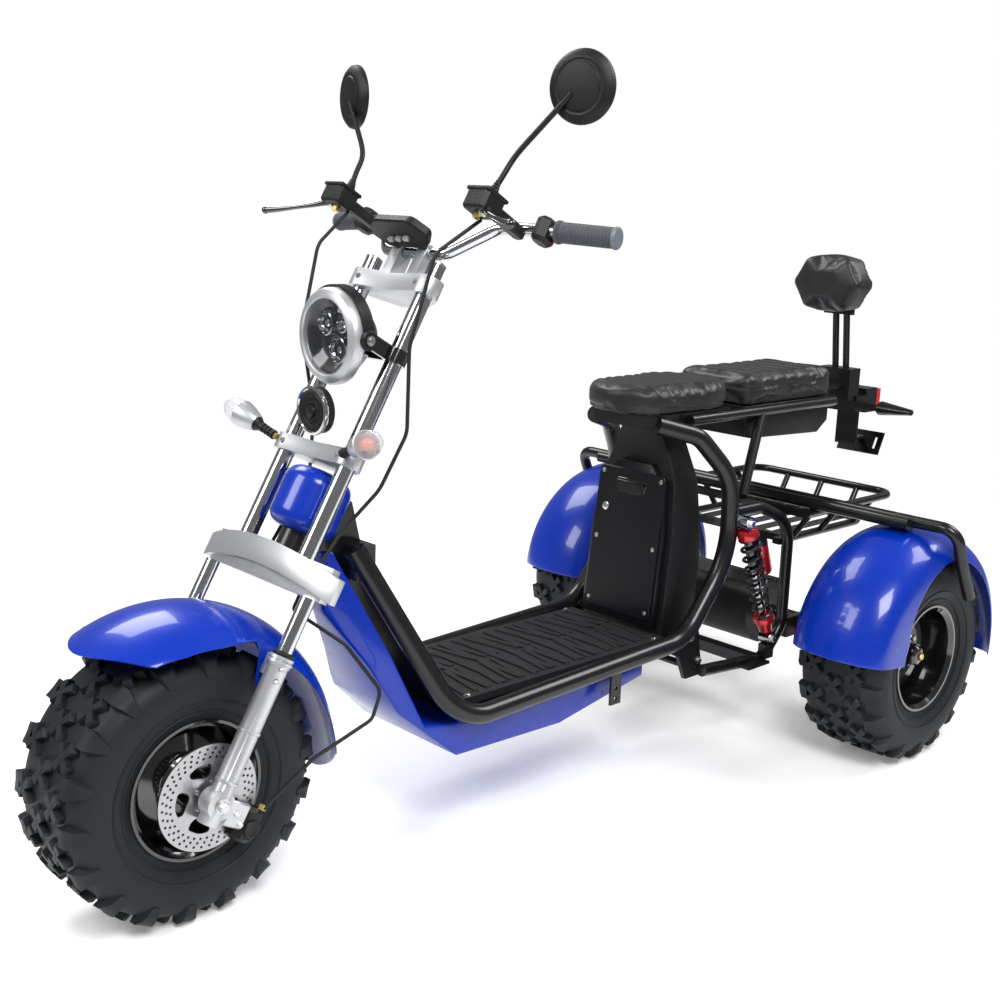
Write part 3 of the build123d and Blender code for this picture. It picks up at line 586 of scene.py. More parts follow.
@dataclass
class Tyre:
    """Balloon tyre with hourglass lugs in staggered rows."""

    steps: int = 18
    lug_root: float = 216.0
    lug_tip: float = 228.2
    # side offset, turn of the lug in degrees, phase in steps
    rows: tuple = ((0.0, 45.0, 0.0), (47.0, 38.0, 0.5), (-47.0, -38.0, 0.5))
    wall: tuple = (
        (109.0, 78.0), (117.0, 84.0), (126.0, 86.0), (140.0, 95.0), (158.0, 98.6), (172.0, 99.0),
        (186.0, 97.0), (198.0, 92.5), (207.0, 85.0), (213.0, 74.0), (216.0, 60.0), (217.0, 40.0),
        (217.4, 0.0),
    )

    def build(self, name: str, place: Matrix, body: Body, node: str, spin: float) -> None:
        """Build the tyre.

        Args:
            name: Name of the piece.
            place: The wheel's centre.
            body: The body that carries it.
            node: The solid that it stands in for.
            spin: How far the tread is turned, in degrees.
        """
        shape = Shape()
        hub = place @ Matrix.Rotation(math.radians(spin), 4, "Y")
        across = hub @ Matrix.Rotation(math.pi / 2, 4, "X")
        section = [(r, -y) for r, y in self.wall] + [(r, y) for r, y in reversed(self.wall[:-1])]
        shape.spun(section, across, 0, 144)
        for ring in (132.0, 150.0):
            half = 91.5 if ring < 140 else 97.6
            for side in (1, -1):
                shape.spun([(ring - 2, side * half), (ring, side * (half + 1.6)),
                            (ring + 2, side * (half + 0.6))], across, 0, 96)
        for offset, turn, phase in self.rows:
            for step in range(self.steps):
                self._lug(shape, hub, (step + phase) * 360.0 / self.steps, offset, turn)
        for side in (1, -1):
            for step in range(self.steps):
                self._shoulder(shape, hub, (step + (0.0 if side > 0 else 0.5)) * 360.0 / self.steps, side)
        shape.finished(name, body, (TYRE_RUBBER,), (node,), 40.0)

    def _on_wheel(self, angle: float, along: float, side: float, radius: float) -> Point:
        """Return a point on the wheel by angle, distance along the tread, side offset and radius."""
        turn = math.radians(angle) + along / TYRE_R
        return (radius * math.cos(turn), side, radius * math.sin(turn))

    def _lug(self, shape: Shape, hub: Matrix, angle: float, offset: float, turn: float) -> None:
        """Add one hourglass lug with sloped walls.

        Args:
            shape: The tyre's mesh.
            hub: The wheel's centre.
            angle: Its place round the wheel, in degrees.
            offset: Its place across the tread.
            turn: How far it is turned on the tread, in degrees.
        """
        arm, waist = 25.0, 8.0
        outline = []
        for k in range(4):
            a = math.pi / 2 * k
            for reach, spread in ((waist, -math.pi / 4), (arm, -0.34), (arm * 1.04, 0.0), (arm, 0.34)):
                outline.append((reach * math.cos(a + spread) * (1.0 if k % 2 == 0 else 0.94),
                                reach * math.sin(a + spread)))
        c, s = math.cos(math.radians(turn)), math.sin(math.radians(turn))
        rings = []
        for grow, radius in ((1.14, self.lug_root), (1.02, self.lug_tip - 1.5), (0.95, self.lug_tip)):
            ring = []
            for x, y in outline:
                along, side = (x * c - y * s) * grow, offset + (x * s + y * c) * grow * 0.9
                drop = 0.035 * max(0.0, abs(side) - 40.0)
                ring.append(self._on_wheel(angle, along, side, radius - drop))
            rings.append(ring)
        shape.rings(rings, hub, 0)
        groove = [(-9, -1.2), (9, -1.2), (9, 1.2), (-9, 1.2)]
        rings = []
        for radius in (self.lug_tip - 0.4, self.lug_tip + 0.5):
            rings.append([self._on_wheel(angle, (x * c - y * s), offset + (x * s + y * c) * 0.9,
                                         radius - 0.035 * max(0.0, abs(offset) - 40.0)) for x, y in groove])
        shape.rings(rings, hub, 0)

    def _shoulder(self, shape: Shape, hub: Matrix, angle: float, side: int) -> None:
        """Add one shoulder block that wraps down on to the wall.

        Args:
            shape: The tyre's mesh.
            hub: The wheel's centre.
            angle: Its place round the wheel, in degrees.
            side: 1 for the left wall, -1 for the right.
        """
        levels = ((66.0, 226.2, 16.0), (82.0, 224.6, 17.0), (92.0, 215.0, 13.0), (97.0, 203.0, 10.0),
                  (97.6, 190.0, 7.0))
        roots = ((70.0, 212.0, 18.5), (78.0, 208.0, 19.5), (85.0, 203.0, 15.5), (91.5, 197.0, 12.0),
                 (95.0, 188.0, 8.5))
        rings = []
        for (y, r, w), (yr, rr, wr) in zip(levels, roots):
            rings.append([
                self._on_wheel(angle, -wr, side * yr, rr), self._on_wheel(angle, -w, side * y, r),
                self._on_wheel(angle, 0.0, side * y, r - 1.6), self._on_wheel(angle, w, side * y, r),
                self._on_wheel(angle, wr, side * yr, rr),
            ])
        shape.rings(rings, hub, 0)


@dataclass
class FrontWheel:
    """Front rim trim and drilled disc."""

    disc_y: float = 116.0
    outer: float = 88.0
    holes: int = 36

    def build(self) -> None:
        """Build the drilled disc and the hub's cover ring."""
        self._disc()
        shape = Shape()
        out = FRONT_HUB @ Matrix.Rotation(-math.pi / 2, 4, "X")
        shape.turned([(60, 60.2), (60, 62), (52, 65), (47, 65), (47, 60.2)], out, 0, 64)
        for k in range(6):
            turn = math.tau * k / 6
            shape.bolt(out @ around(54, turn, 63.2), 3.2, 1, 2.6)
        shape.finished("front_hub_cover", Body.FRONT_WHEEL, (GLOSS_BLACK, BOLT_STEEL))

    def _disc(self) -> None:
        """Cut the disc with its windows and two rows of holes."""
        curve = bpy.data.curves.new("disc_outline", "CURVE")
        curve.dimensions = "2D"
        curve.fill_mode = "BOTH"
        curve.extrude = 2.0
        loops: list[list[Flat]] = [self._ring(self.outer, 0.0, 0.0, 96), self._ring(15.5, 0.0, 0.0, 40)]
        for row, radius in enumerate((self.outer - 7.0, self.outer - 14.0, self.outer - 21.0)):
            for k in range(self.holes):
                turn = math.tau * (k + 0.33 * row) / self.holes
                loops.append(self._ring(2.3, radius * math.cos(turn), radius * math.sin(turn), 10))
        for k in range(5):
            turn = math.tau * k / 5
            window = [(33, -0.30), (45, -0.47), (58, -0.40), (59.5, 0.0), (58, 0.30), (49, 0.36), (40, 0.12)]
            corners = [(r * math.cos(turn + a), r * math.sin(turn + a)) for r, a in window]
            loops.append(rounded(corners, 7.0, 4))
        for loop in loops:
            spline = curve.splines.new("POLY")
            spline.points.add(len(loop) - 1)
            for point, (x, y) in zip(spline.points, loop):
                point.co = (x, y, 0.0, 1.0)
            spline.use_cyclic_u = True
        sketch = bpy.data.objects.new("disc_outline", curve)
        mesh = bpy.data.meshes.new_from_object(sketch)
        bpy.data.objects.remove(sketch)
        mesh.materials.clear()
        mesh.materials.append(DISC_STEEL.material())
        mesh.transform(FRONT_HUB @ moved(0, self.disc_y, 0) @ Matrix.Rotation(-math.pi / 2, 4, "X"))
        mesh.shade_smooth()
        mesh.set_sharp_from_angle(angle=math.radians(30))
        disc = bpy.data.objects.new("drilled_disc", mesh)
        bpy.context.scene.collection.objects.link(disc)
        declare(disc, Body.FRONT_WHEEL, ("brake_disc",))
        shape = Shape()
        out = FRONT_HUB @ Matrix.Rotation(-math.pi / 2, 4, "X")
        shape.spun([(29, 84.5), (30, 86), (30, 113.5), (16, 113.8)], out, 0, 48)
        for k in range(5):
            turn = math.tau * (k + 0.5) / 5
            shape.bolt(out @ around(23.5, turn, 118.1), 3.4, 1, 2.8)
        shape.finished("disc_carrier", Body.FRONT_WHEEL, (GLOSS_BLACK, BOLT_STEEL))

    @staticmethod
    def _ring(radius: float, x: float, y: float, sides: int) -> list[Flat]:
        """Return a circle.

        Args:
            radius: Its radius.
            x: Its centre.
            y: Its centre.
            sides: How many points.

        Returns:
            A loop of points.
        """
        return [(x + radius * math.cos(math.tau * k / sides), y + radius * math.sin(math.tau * k / sides))
                for k in range(sides)]


@dataclass
class RearWheelTrim:
    """Nuts, hub cap and valve of a rear wheel."""

    stud_circle: float = 38.0
    face: float = 32.4

    def build(self, side: int, tag: str, body: Body) -> None:
        """Build the trim of one rear wheel.

        Args:
            side: 1 for the rider's left, -1 for the right.
            tag: The side's name.
            body: The wheel's body.
        """
        shape = Shape()
        out = rear_hub(side) @ Matrix.Rotation(-side * math.pi / 2, 4, "X")
        for k in range(4):
            turn = math.radians(45 + 90 * k)
            shape.bolt(out @ around(self.stud_circle, turn, self.face), 7.0, 0, 7.0)
        shape.turned([(22, 60.2), (22, 63), (18, 68), (12, 70), (0.5, 70)], out, 1, 40)
        shape.turned([(9, 70), (8.5, 74), (7, 76), (0.5, 76)], out, 2, 6)
        stem = out @ facing((82, 0, 28), (-0.5, 0, 0.85))
        shape.turned([(4.5, -6), (4.5, 6), (3.6, 8), (3.6, 16), (4.4, 17), (4.4, 25), (3, 27)], stem, 3, 16)
        shape.finished(f"rear_wheel_trim_{tag}", body, (CHROME, GLOSS_BLACK, BRASS, SOFT_RUBBER))


@dataclass
class Shell:
    """Mudguard skin drawn as sections round a wheel."""

    wall: float = 2.6

    def build(self, name: str, body: Body, node: str, place: Matrix, first: float, last: float,
              section: Callable[[float], list[Flat]], skew: Callable[[float], float],
              steps: int = 60) -> None:
        """Build the skin.

        Args:
            name: Name of the piece.
            body: The body that carries it.
            node: The solid that it stands in for.
            place: The wheel's centre.
            first: Angle of the front end, up from straight ahead, in degrees.
            last: Angle of the back end.
            section: Gives the (side, radius) points at a share of the way round.
            skew: Gives how much each side offset shortens the ends, in degrees.
            steps: Sections round the wheel.
        """
        outer: list[list[Point]] = []
        for k in range(steps + 1):
            share = k / steps
            row = []
            for side, radius in section(share):
                trim = skew(side)
                turn = math.radians(first + trim + (last - first - 2 * trim) * share)
                row.append((radius * math.cos(turn), side, radius * math.sin(turn)))
            outer.append(row)
        count = len(outer[0])
        points = [p for row in outer for p in row]
        faces = [(r * count + c, r * count + c + 1, (r + 1) * count + c + 1, (r + 1) * count + c)
                 for r in range(steps) for c in range(count - 1)]
        shape = Shape()
        shape.take(points, faces, place)
        piece = shape.finished(name, body, (BLUE_PAINT,), (node,), 60.0)
        thick = piece.modifiers.new("wall", "SOLIDIFY")
        thick.thickness = self.wall * 0.001
        thick.offset = -1.0
        rim = piece.modifiers.new("rim", "BEVEL")
        rim.width = 0.0008
        rim.segments = 2
        rim.limit_method = "ANGLE"
        rim.angle_limit = math.radians(50)
        smooth = piece.modifiers.new("smooth", "SUBSURF")
        smooth.levels = smooth.render_levels = 1


@dataclass
class Mudguards:
    """The three mudguards."""

    front_crown: float = 289.5
    rear_crown: float = 276.5

    def build(self) -> None:
        """Build the front guard and both rear guards."""
        shell = Shell()
        shell.build("front_mudguard", Body.STEERING, "front_guard", FORK @ moved(AXLE_AHEAD, 0, 0),
                    26.0, 163.0, self._front_section, lambda y: 15.0 * (abs(y) / 122.0) ** 1.6, 88)
        for side, tag in SIDES:
            place = rear_hub(side) @ moved(-12, 0, 0)
            shell.build(f"rear_mudguard_{tag}", Body.CHASSIS, f"rear_guard_{tag}", place, 7.0, 189.0,
                        lambda s, k=side: self._rear_section(s, k), lambda y: 0.0, 64)

    def _front_section(self, share: float) -> list[Flat]:
        """Return the front guard's section.

        Args:
            share: How far back it is, from 0 to 1.

        Returns:
            Points of (side, radius).
        """
        edge = 243.0
        if share < 0.12:
            edge = 250.0 - 8.0 * share / 0.12
        leg = (share - 0.46) / 0.055
        notch = math.exp(-((share - 0.37) / 0.075) ** 2) * 13.0
        tail = max(0.0, (share - 0.56) / 0.44) * 4.0
        edge = edge + notch + tail
        edge -= 62.0 * math.exp(-leg ** 4)
        crown = self.front_crown
        top = [(0.0, crown), (34.0, crown - 3.6), (64.0, crown - 12.5), (90.0, crown - 25.0),
               (108.0, crown - 37.0), (118.0, crown - 47.0)]
        skirt = [(121.2, min(edge + 4.0, 238.0)), (121.6, min(edge, 233.0) if edge < 238 else 236.0)]
        if edge > 238.0:
            skirt = [(120.0, edge - 0.3), (120.4, edge - 1.0)]
            top[-1] = (118.0, max(edge + 0.6, crown - 47.0))
        half = top + skirt
        return [(-y, r) for y, r in reversed(half)] + half[1:]

    def _rear_section(self, share: float, side: int) -> list[Flat]:
        """Return a rear guard's section.

        Args:
            share: How far back it is, from 0 to 1.
            side: 1 for the left guard, -1 for the right.

        Returns:
            Points of (side, radius).
        """
        crown = self.rear_crown
        skirt = 152.0 + 66.0 * min(1.0, max(0.0, (share - 0.10) / 0.34)) ** 0.8
        points = [(-117.0, 214.0), (-113.0, 225.0), (-100.0, 243.0), (-74.0, 262.0), (-40.0, 273.0),
                  (0.0, crown),
                  (36.0, 273.6), (68.0, 265.0), (92.0, 252.0), (105.0, 238.0), (110.0, 226.0),
                  (111.5, max(skirt + 3.0, 0.5 * (skirt + 226.0))), (112.6, skirt)]
        return [(side * y, r) for y, r in points]


@dataclass
class ForkTrim:
    """Bolts, collars and casting detail on the fork legs and clamps."""

    leg_x: float = 33.0
    leg_y: float = 141.5

    def build(self) -> None:
        """Build the leg castings' bolts and the clamps' bolts."""
        shape = Shape()
        for side, _ in SIDES:
            outward = facing((self.leg_x, side * (self.leg_y + 17.0), 0), (0, side, 0))
            shape.bolt(FORK @ outward, 9.0, 0, 9.0)
            for z in (205.0, 226.0):
                shape.bolt(FORK @ facing((self.leg_x, side * 141.0, z), (-0.2, -side, 0)) @
                           moved(0, 0, 22.0), 4.2, 0, 3.4)
                shape.bolt(FORK @ facing((self.leg_x + 4, side * (self.leg_y + 17.4), z), (0.15, side, 0)),
                           4.2, 0, 3.2)
            for z, r in ((36.0, 18.2), (120.0, 18.0), (236.0, 20.2), (243.0, 19.8)):
                shape.spun([(r - 1.0, -3), (r + 0.9, -2), (r + 0.9, 2), (r - 1.0, 3)],
                             FORK @ moved(self.leg_x, side * self.leg_y, z), 1, 48)
            shape.spun([(16.6, 0), (17.4, 1.5), (17.4, 6.5), (13.4, 9.0)],
                         FORK @ moved(self.leg_x, side * self.leg_y, 245), 2, 40)
            for z in (580.0, 900.0):
                shape.bolt(FORK @ facing((50.4, side * 78.0, z), (1, 0, 0)), 4.0, 0, 3.2)
            shape.turned([(15.4, 0), (15.4, 3), (12.0, 5.0), (6.0, 5.4), (0.5, 5.4)],
                         FORK @ moved(28, side * 86, 942.5), 0, 32)
            shape.bolt(FORK @ moved(18, side * 34, 979.2), 4.4, 0, 3.6)
        shape.finished("fork_bolts", Body.STEERING, (BOLT_STEEL, SILVER_PAINT, SOFT_RUBBER))


@dataclass
class Headlamp:
    """Headlamp with its reflector behind the glass and a strap over the top."""

    centre: Point = (96.0, 0.0, 766.0)

    def build(self) -> None:
        """Build bezel ring, glass, reflector, inner lamps and strap."""
        at = FORK @ facing(self.centre, STRAIGHT_AHEAD, (0, 0, 1))
        shape = Shape()
        shape.spun([(78, -2), (81.5, 2), (81.5, 12), (78, 19), (70, 23.5), (65.5, 24.4), (63.2, 22.0),
                      (62.2, 14.0)], at, 0, 96)
        shape.spun([(62.2, 14.0), (50, 4), (30, -8), (12, -13), (0.5, -13)], at, 1, 64)
        for x, y, r in ((20, 20, 21), (-22, -14, 24), (22, -26, 15)):
            lamp = at @ moved(x, y, -7)
            shape.spun([(r, 0), (r, 14), (r - 2.2, 15), (r - 3, 11), (r - 9, 3), (3, 1), (0.5, 1)], lamp, 2,
                       36)
            shape.spun([(5.5, 1), (5.5, 9), (4, 11), (0.5, 11.5)], lamp, 3, 20)
        shape.finished("headlamp_inside", Body.STEERING, (SILVER_PAINT, GLOSS_BLACK, CHROME, MIRROR_GLASS),
                       ("headlamp_bezel",))
        glass = Shape()
        glass.spun([(62.8, 17.0), (56, 20.4), (40, 25.0), (20, 27.6), (0.5, 28.4)], at, 0, 64)
        glass.finished("headlamp_glass", Body.STEERING, (SMOKE_LENS,), ("headlamp_lens",), 60.0)
        strap = Shape()
        for side, _ in SIDES:
            pivot = at @ facing((0, side * 83.5, -6), (0, side, 0))
            strap.turned([(17, -4), (17, 2), (14, 4.6), (0.5, 5)], pivot, 0, 36)
            strap.bolt(pivot @ moved(0, 0, 4.6), 6.4, 1, 4.0)
        rings = []
        for k in range(41):
            turn = math.radians(-8 + 196 * k / 40)
            c, s = math.cos(turn), math.sin(turn)
            rings.append([(r * s, r * c, z) for r, z in ((83.0, -17), (86.0, -17), (86.0, 5), (83.0, 5))])
        strap.rings(rings, at, 0)
        strap.finished("headlamp_strap", Body.STEERING, (PLASTIC_BLACK, BOLT_STEEL))


@dataclass
class Horn:
    """Disc horn with a pressed ring."""

    centre: Point = (76.0, 0.0, 636.0)

    def build(self) -> None:
        """Build the horn's face."""
        at = FORK @ facing(self.centre, STRAIGHT_AHEAD, (0, 0, 1))
        shape = Shape()
        shape.spun([(39.5, -18), (39.5, -4), (38, -2)], at, 0, 64)
        shape.spun([(41.5, -4), (42, 0), (41, 3), (37.5, 4.2), (35.5, 2.2)], at, 1, 64)
        shape.spun([(35.5, 2.2), (31, 0.5), (29, 2.2), (25, 2.2), (23, 0.2), (20, 0.2), (18, 2.6), (15, 2.6),
                      (13, 0.6), (11, 0.6), (9.5, 5.5), (7, 6.4), (0.5, 6.6)], at, 0, 64)
        shape.spun([(39.5, -18), (24, -22), (0.5, -22)], at, 0, 64)
        shape.finished("horn_face", Body.STEERING, (PLASTIC_BLACK, CHROME), ("horn",))


@dataclass
class Signals:
    """Front turn signals with clear lens, amber bulb and ribbed stem."""

    def build(self) -> None:
        """Build both signals."""
        for side, tag in SIDES:
            body = Shape()
            axis = (0.3, side * 0.92, 0.2)
            at = FORK @ facing((70, side * 140, 592), axis, (1, 0, 0))
            body.turned([(5, -46), (8.5, -44), (8.5, -39), (6.4, -38), (6.4, -35), (8.2, -34), (8.2, -31),
                         (6.4, -30),
                         (6.4, -27), (8.2, -26), (8.2, -23), (6.4, -22), (6.4, -19), (8.4, -18), (8.4, -14),
                         (9, -8), (12.4, -2), (13.4, 0)], at, 0, 28)
            body.spun([(13.4, 0), (15.6, 4), (21.0, 22), (24.0, 36), (24.4, 41), (22.6, 42), (20.2, 38)],
                      at, 1, 44)
            body.spun([(20.0, 38), (10, 24), (0.5, 20)], at, 1, 32)
            body.spun([(9.0, 24), (10.4, 34), (10.4, 46), (8, 53), (4, 56.5), (0.5, 57.4)], at, 2, 28)
            body.turned([(6.4, -50), (6.4, -46)], at, 3, 6)
            body.finished(f"signal_body_{tag}", Body.STEERING, (PLASTIC_BLACK, SILVER_PAINT, AMBER, BRASS),
                          (f"front_signal_{tag}",))
            lens = Shape()
            lens.spun([(23.6, 41), (22.6, 52), (19.6, 64), (14.2, 74), (8.0, 81), (3.4, 83.6), (0.5, 84.0)],
                        at, 0, 12)
            lens.finished(f"signal_glass_{tag}", Body.STEERING, (CLEAR_LENS,), (), 10.0)


@dataclass
class Cockpit:
    """Grips, levers, reservoirs, mirrors and the dash underside."""

    def build(self) -> None:
        """Build the controls on both sides and the dash."""
        for side, tag in SIDES:
            self._grip(side, tag)
            self._control(side, tag)
            self._mirror(side, tag)
        self._dash()

    def _grip(self, side: int, tag: str) -> None:
        """Build one grip with ribs and an end cap.

        Args:
            side: 1 for the rider's left, -1 for the right.
            tag: The side's name.
        """
        start = Vector((-32, side * 258, 1051))
        end = Vector((-60, side * 366, 1061))
        axis = (end - start).normalized()
        at = FORK @ facing(start + axis * 4.0, axis)
        profile: list[Flat] = [(11.4, 0), (19.5, 0.5), (19.5, 5), (16.4, 6.5)]
        for k in range(15):
            z = 9.0 + 6.2 * k
            profile += [(16.4, z), (17.4, z + 1.0), (17.4, z + 4.2), (16.4, z + 5.2)]
        profile += [(16.8, 103), (17.6, 105)]
        shape = Shape()
        shape.spun(profile, at, 0, 48)
        shape.spun([(17.6, 105), (18.6, 106), (18.6, 109), (17, 111.4), (9, 112), (0.5, 112)], at, 1, 48)
        shape.finished(f"grip_rubber_{tag}", Body.STEERING, (GRIP_RUBBER, CAP_GREY),
                       (f"grip_{tag}",))

    def _control(self, side: int, tag: str) -> None:
        """Build reservoir, perch, switch pod and lever of one side.

        Args:
            side: 1 for the rider's left, -1 for the right.
            tag: The side's name.
        """
        shape = Shape()
        shape.block((48, 52, 34), FORK @ moved(78, side * 194, 1035), 4.0, 0)
        shape.block((51, 55, 6), FORK @ moved(78, side * 194, 1052), 2.0, 0)
        for dx in (-17, 17):
            shape.turned([(3.4, 0), (3.4, 1.4), (1.6, 1.6), (0.4, 0.8)],
                         FORK @ moved(78 + dx, side * 194, 1054.8), 1, 16)
        shape.block((100, 24, 20), FORK @ moved(26, side * 194, 1036), 4.0, 0)
        shape.block((44, 32, 44), FORK @ moved(-28, side * 238, 1048), 8.0, 0)
        for k, (dx, dz) in enumerate(((-22, 8), (-22, -8))):
            shape.turned([(6, 0), (6, 3), (4.5, 4.4), (0.5, 4.6)],
                         FORK @ facing((-28 + dx, side * 236, 1048 + dz), (-1, 0, 0)), 2 if k else 3, 20)
        shape.turned([(7, -6), (7, 6)], FORK @ moved(78, side * 190, 1015), 4, 6)
        lever = flowing([(76, side * 202, 1030), (88, side * 222, 1018), (98, side * 245, 1006),
                         (112, side * 290, 990), (124, side * 330, 978)], 10)
        shape.swept(lever, 5.3, FORK, 5, 12, lambda run: 1.0 + 0.22 * math.cos(run / 24.0))
        shape.spun([(7.3 * math.sin(math.pi * k / 10) + 0.1,
                     -7.3 * math.cos(math.pi * k / 10)) for k in range(11)],
                     FORK @ moved(124, side * 330, 978), 5, 20)
        shape.turned([(7.6, -13), (7.6, 13)], FORK @ moved(80, side * 202, 1028), 1, 24)
        shape.finished(f"control_{tag}", Body.STEERING,
                       (PLASTIC_BLACK, BOLT_STEEL, RED_METAL, CAP_GREY, BRASS, GLOSS_BLACK),
                       (f"hand_controls_{tag}",))

    def _mirror(self, side: int, tag: str) -> None:
        """Build one round mirror on its bent stem.

        Args:
            side: 1 for the rider's left, -1 for the right.
            tag: The side's name.
        """
        shape = Shape()
        stem = flowing([(68, side * 190, 1056.5), (67, side * 196, 1094), (66, side * 205, 1135),
                        (74, side * 245, 1184), (84, side * 290, 1234)], 10)
        shape.swept(stem, 4.8, FORK, 0, 14)
        boot: list[Flat] = [(10.5, 0)]
        for k in range(5):
            boot += [(10.5 - 1.1 * k, 2.0 + 5 * k), (8.6 - 1.0 * k, 4.4 + 5 * k)]
        shape.turned([*boot, (4.8, 28)], FORK @ facing((68, side * 190.4, 1055), (0, side * 0.1, 0.99)), 0,
                     28)
        normal = Vector((0.84, side * 0.25, -0.48)).normalized()
        face = FORK @ facing(Vector((80, side * 298, 1249)) - normal * 2.0, normal, (0, 0, 1))
        shape.spun([(55.5, -8.4), (58.4, -8.4), (59, -5), (58, 0), (52, 5.6), (44, 8.4), (41, 7.4),
                    (38.4, 8.0),
                      (37, 10.0), (24, 11.4), (0.5, 11.8)], face, 0, 72)
        shape.spun([(55.6, -6.6), (0.5, -6.6)], face, 1, 64)
        shape.spun([(55.5, -8.4), (55.6, -6.6)], face, 0, 64)
        shape.finished(f"mirror_{tag}", Body.STEERING, (PLASTIC_BLACK, MIRROR_GLASS),
                       (f"rear_view_mirror_{tag}",))

    def _dash(self) -> None:
        """Build the ribs and plugs under the dash."""
        at = FORK @ facing((66, 0, 976), (-0.3, 0, 0.95), (1, 0, 0))
        shape = Shape()
        outline = [(32, -48), (32, 48), (0, 78), (-32, 48), (-32, -48), (0, -78)]
        shape.slab(rounded(outline, 10.0, 4), 17.0, at, 3.0, 0)
        shape.slab(rounded([(x * 0.86, y * 0.9) for x, y in outline], 8.0, 4), 1.6,
                   at @ moved(0, 0, 16.6), 0.6, 1)
        for k in range(3):
            shape.block((9, 14, 8), at @ moved(-8 + 2 * k, -22 + 22 * k, -3.4), 1.4, 2)
        shape.finished("dash_plate", Body.STEERING, (PLASTIC_BLACK, CAP_GREY, SILVER_PAINT),
                       ("dash",))


@dataclass
class Caliper:
    """Brake caliper with its round cap, bolts and hose banjo."""

    def build(self) -> None:
        """Build the caliper's outside."""
        shape = Shape()
        shape.block((44, 44, 58), FORK @ moved(-48, 122, -21), 7.0, 0)
        shape.block((44, 13, 42), FORK @ moved(-13.4, 137, -10), 4.0, 1)
        for dx in (-30, 4):
            shape.bolt(FORK @ facing((-13.4 + dx * 0.4, 143.2, -10 + dx * 0.4), (0, 1, 0)), 4.6, 2, 4.0)
        shape.turned([(14.5, -2), (14.5, 3), (12.5, 4.6), (11, 4.0), (0.5, 4.0)],
                     FORK @ facing((-50, 144.4, -24), (0, 1, 0)), 0, 36)
        shape.turned([(7, 0), (7, 9)], FORK @ facing((-60, 136, 8), (0, 0, 1)), 3, 6)
        shape.finished("caliper_body", Body.STEERING, (PLASTIC_BLACK, SILVER_PAINT, BOLT_STEEL, BRASS),
                       ("brake_caliper",))


@dataclass
class Cushion:
    """Foam pad: the solid's form, filled by a cloth pass, then sewn with channels."""

    node: str
    name: str
    fill: float = 0.85
    voxel: float = 0.0045
    cap: float = 0.006
    rows: tuple = ()
    row_axis: int = 0
    row_depth: float = 0.0035
    row_width: float = 0.007
    row_from: float = 0.35
    seam_z: tuple = ()

    def build(self) -> bpy.types.Object:
        """Build the pad in place of its solid.

        Returns:
            The finished pad.
        """
        source = frame["nodes"][self.node]
        mesh = source.data.copy()
        mesh.transform(source.matrix_world)
        mesh.materials.clear()
        mesh.materials.append(SADDLE_LEATHER.material())
        piece = bpy.data.objects.new(self.name, mesh)
        bpy.context.scene.collection.objects.link(piece)
        grid = piece.modifiers.new("grid", "REMESH")
        grid.mode = "VOXEL"
        grid.voxel_size = self.voxel
        even = piece.modifiers.new("even", "SMOOTH")
        even.factor = 0.5
        even.iterations = 6
        self._bake(piece)
        self._fill(piece)
        self._sew(piece)
        piece.data.shade_smooth()
        declare(piece, Body.CHASSIS, (self.node,))
        return piece

    @staticmethod
    def _bake(piece: bpy.types.Object) -> None:
        """Apply the piece's modifiers to its mesh."""
        bpy.context.view_layer.update()
        seen = piece.evaluated_get(bpy.context.evaluated_depsgraph_get())
        baked = bpy.data.meshes.new_from_object(seen)
        piece.modifiers.clear()
        piece.data = baked

    def _fill(self, piece: bpy.types.Object) -> None:
        """Swell the cover with a short cloth pass and hold it near the solid's form."""
        before = [v.co.copy() for v in piece.data.vertices]
        cover = piece.modifiers.new("cover", "CLOTH")
        cover.settings.use_pressure = True
        cover.settings.uniform_pressure_force = 4.0
        cover.settings.effector_weights.gravity = 0.0
        cover.settings.quality = 4
        cover.settings.tension_stiffness = 18.0
        cover.settings.compression_stiffness = 18.0
        cover.point_cache.frame_start = 1
        cover.point_cache.frame_end = 20
        scene = bpy.context.scene
        for frame_number in range(1, 21):
            scene.frame_set(frame_number)
        self._bake(piece)
        scene.frame_set(1)
        for vertex, start in zip(piece.data.vertices, before):
            shift = vertex.co - start
            if shift.length > self.cap:
                shift *= self.cap / shift.length
            vertex.co = start + shift

    def _sew(self, piece: bpy.types.Object) -> None:
        """Press the stitched channels and the side seams into the cover."""
        mesh = piece.data
        normals = [n.vector.copy() for n in mesh.vertex_normals]
        lows = min(v.co.z for v in mesh.vertices)
        for vertex, normal in zip(mesh.vertices, normals):
            push = 0.0
            along = vertex.co[self.row_axis]
            if self.rows and normal.z > self.row_from:
                nearest = min(abs(along - row) for row in self.rows)
                push += self.row_depth * math.exp(-(nearest / self.row_width) ** 2) * min(1.0, normal.z * 1.4)
            for level in self.seam_z:
                if abs(normal.z) < 0.75:
                    push += 0.0022 * math.exp(-((vertex.co.z - lows - level) / 0.0028) ** 2)
            vertex.co -= normal * push


@dataclass
class Seats:
    """Saddle, passenger cushion and backrest pads."""

    def build(self) -> None:
        """Build every pad."""
        x = DATUM_X * 0.001
        Cushion("saddle", "saddle_cover", rows=tuple(x + 0.200 + 0.031 * k for k in range(9)),
                seam_z=(0.016,)).build()
        Cushion("passenger_seat", "passenger_cover", rows=tuple(x - 0.150 + 0.045 * k for k in range(6)),
                seam_z=(0.018, 0.046)).build()
        Cushion("backrest_pad", "backrest_cover", fill=0.9, cap=0.008).build()


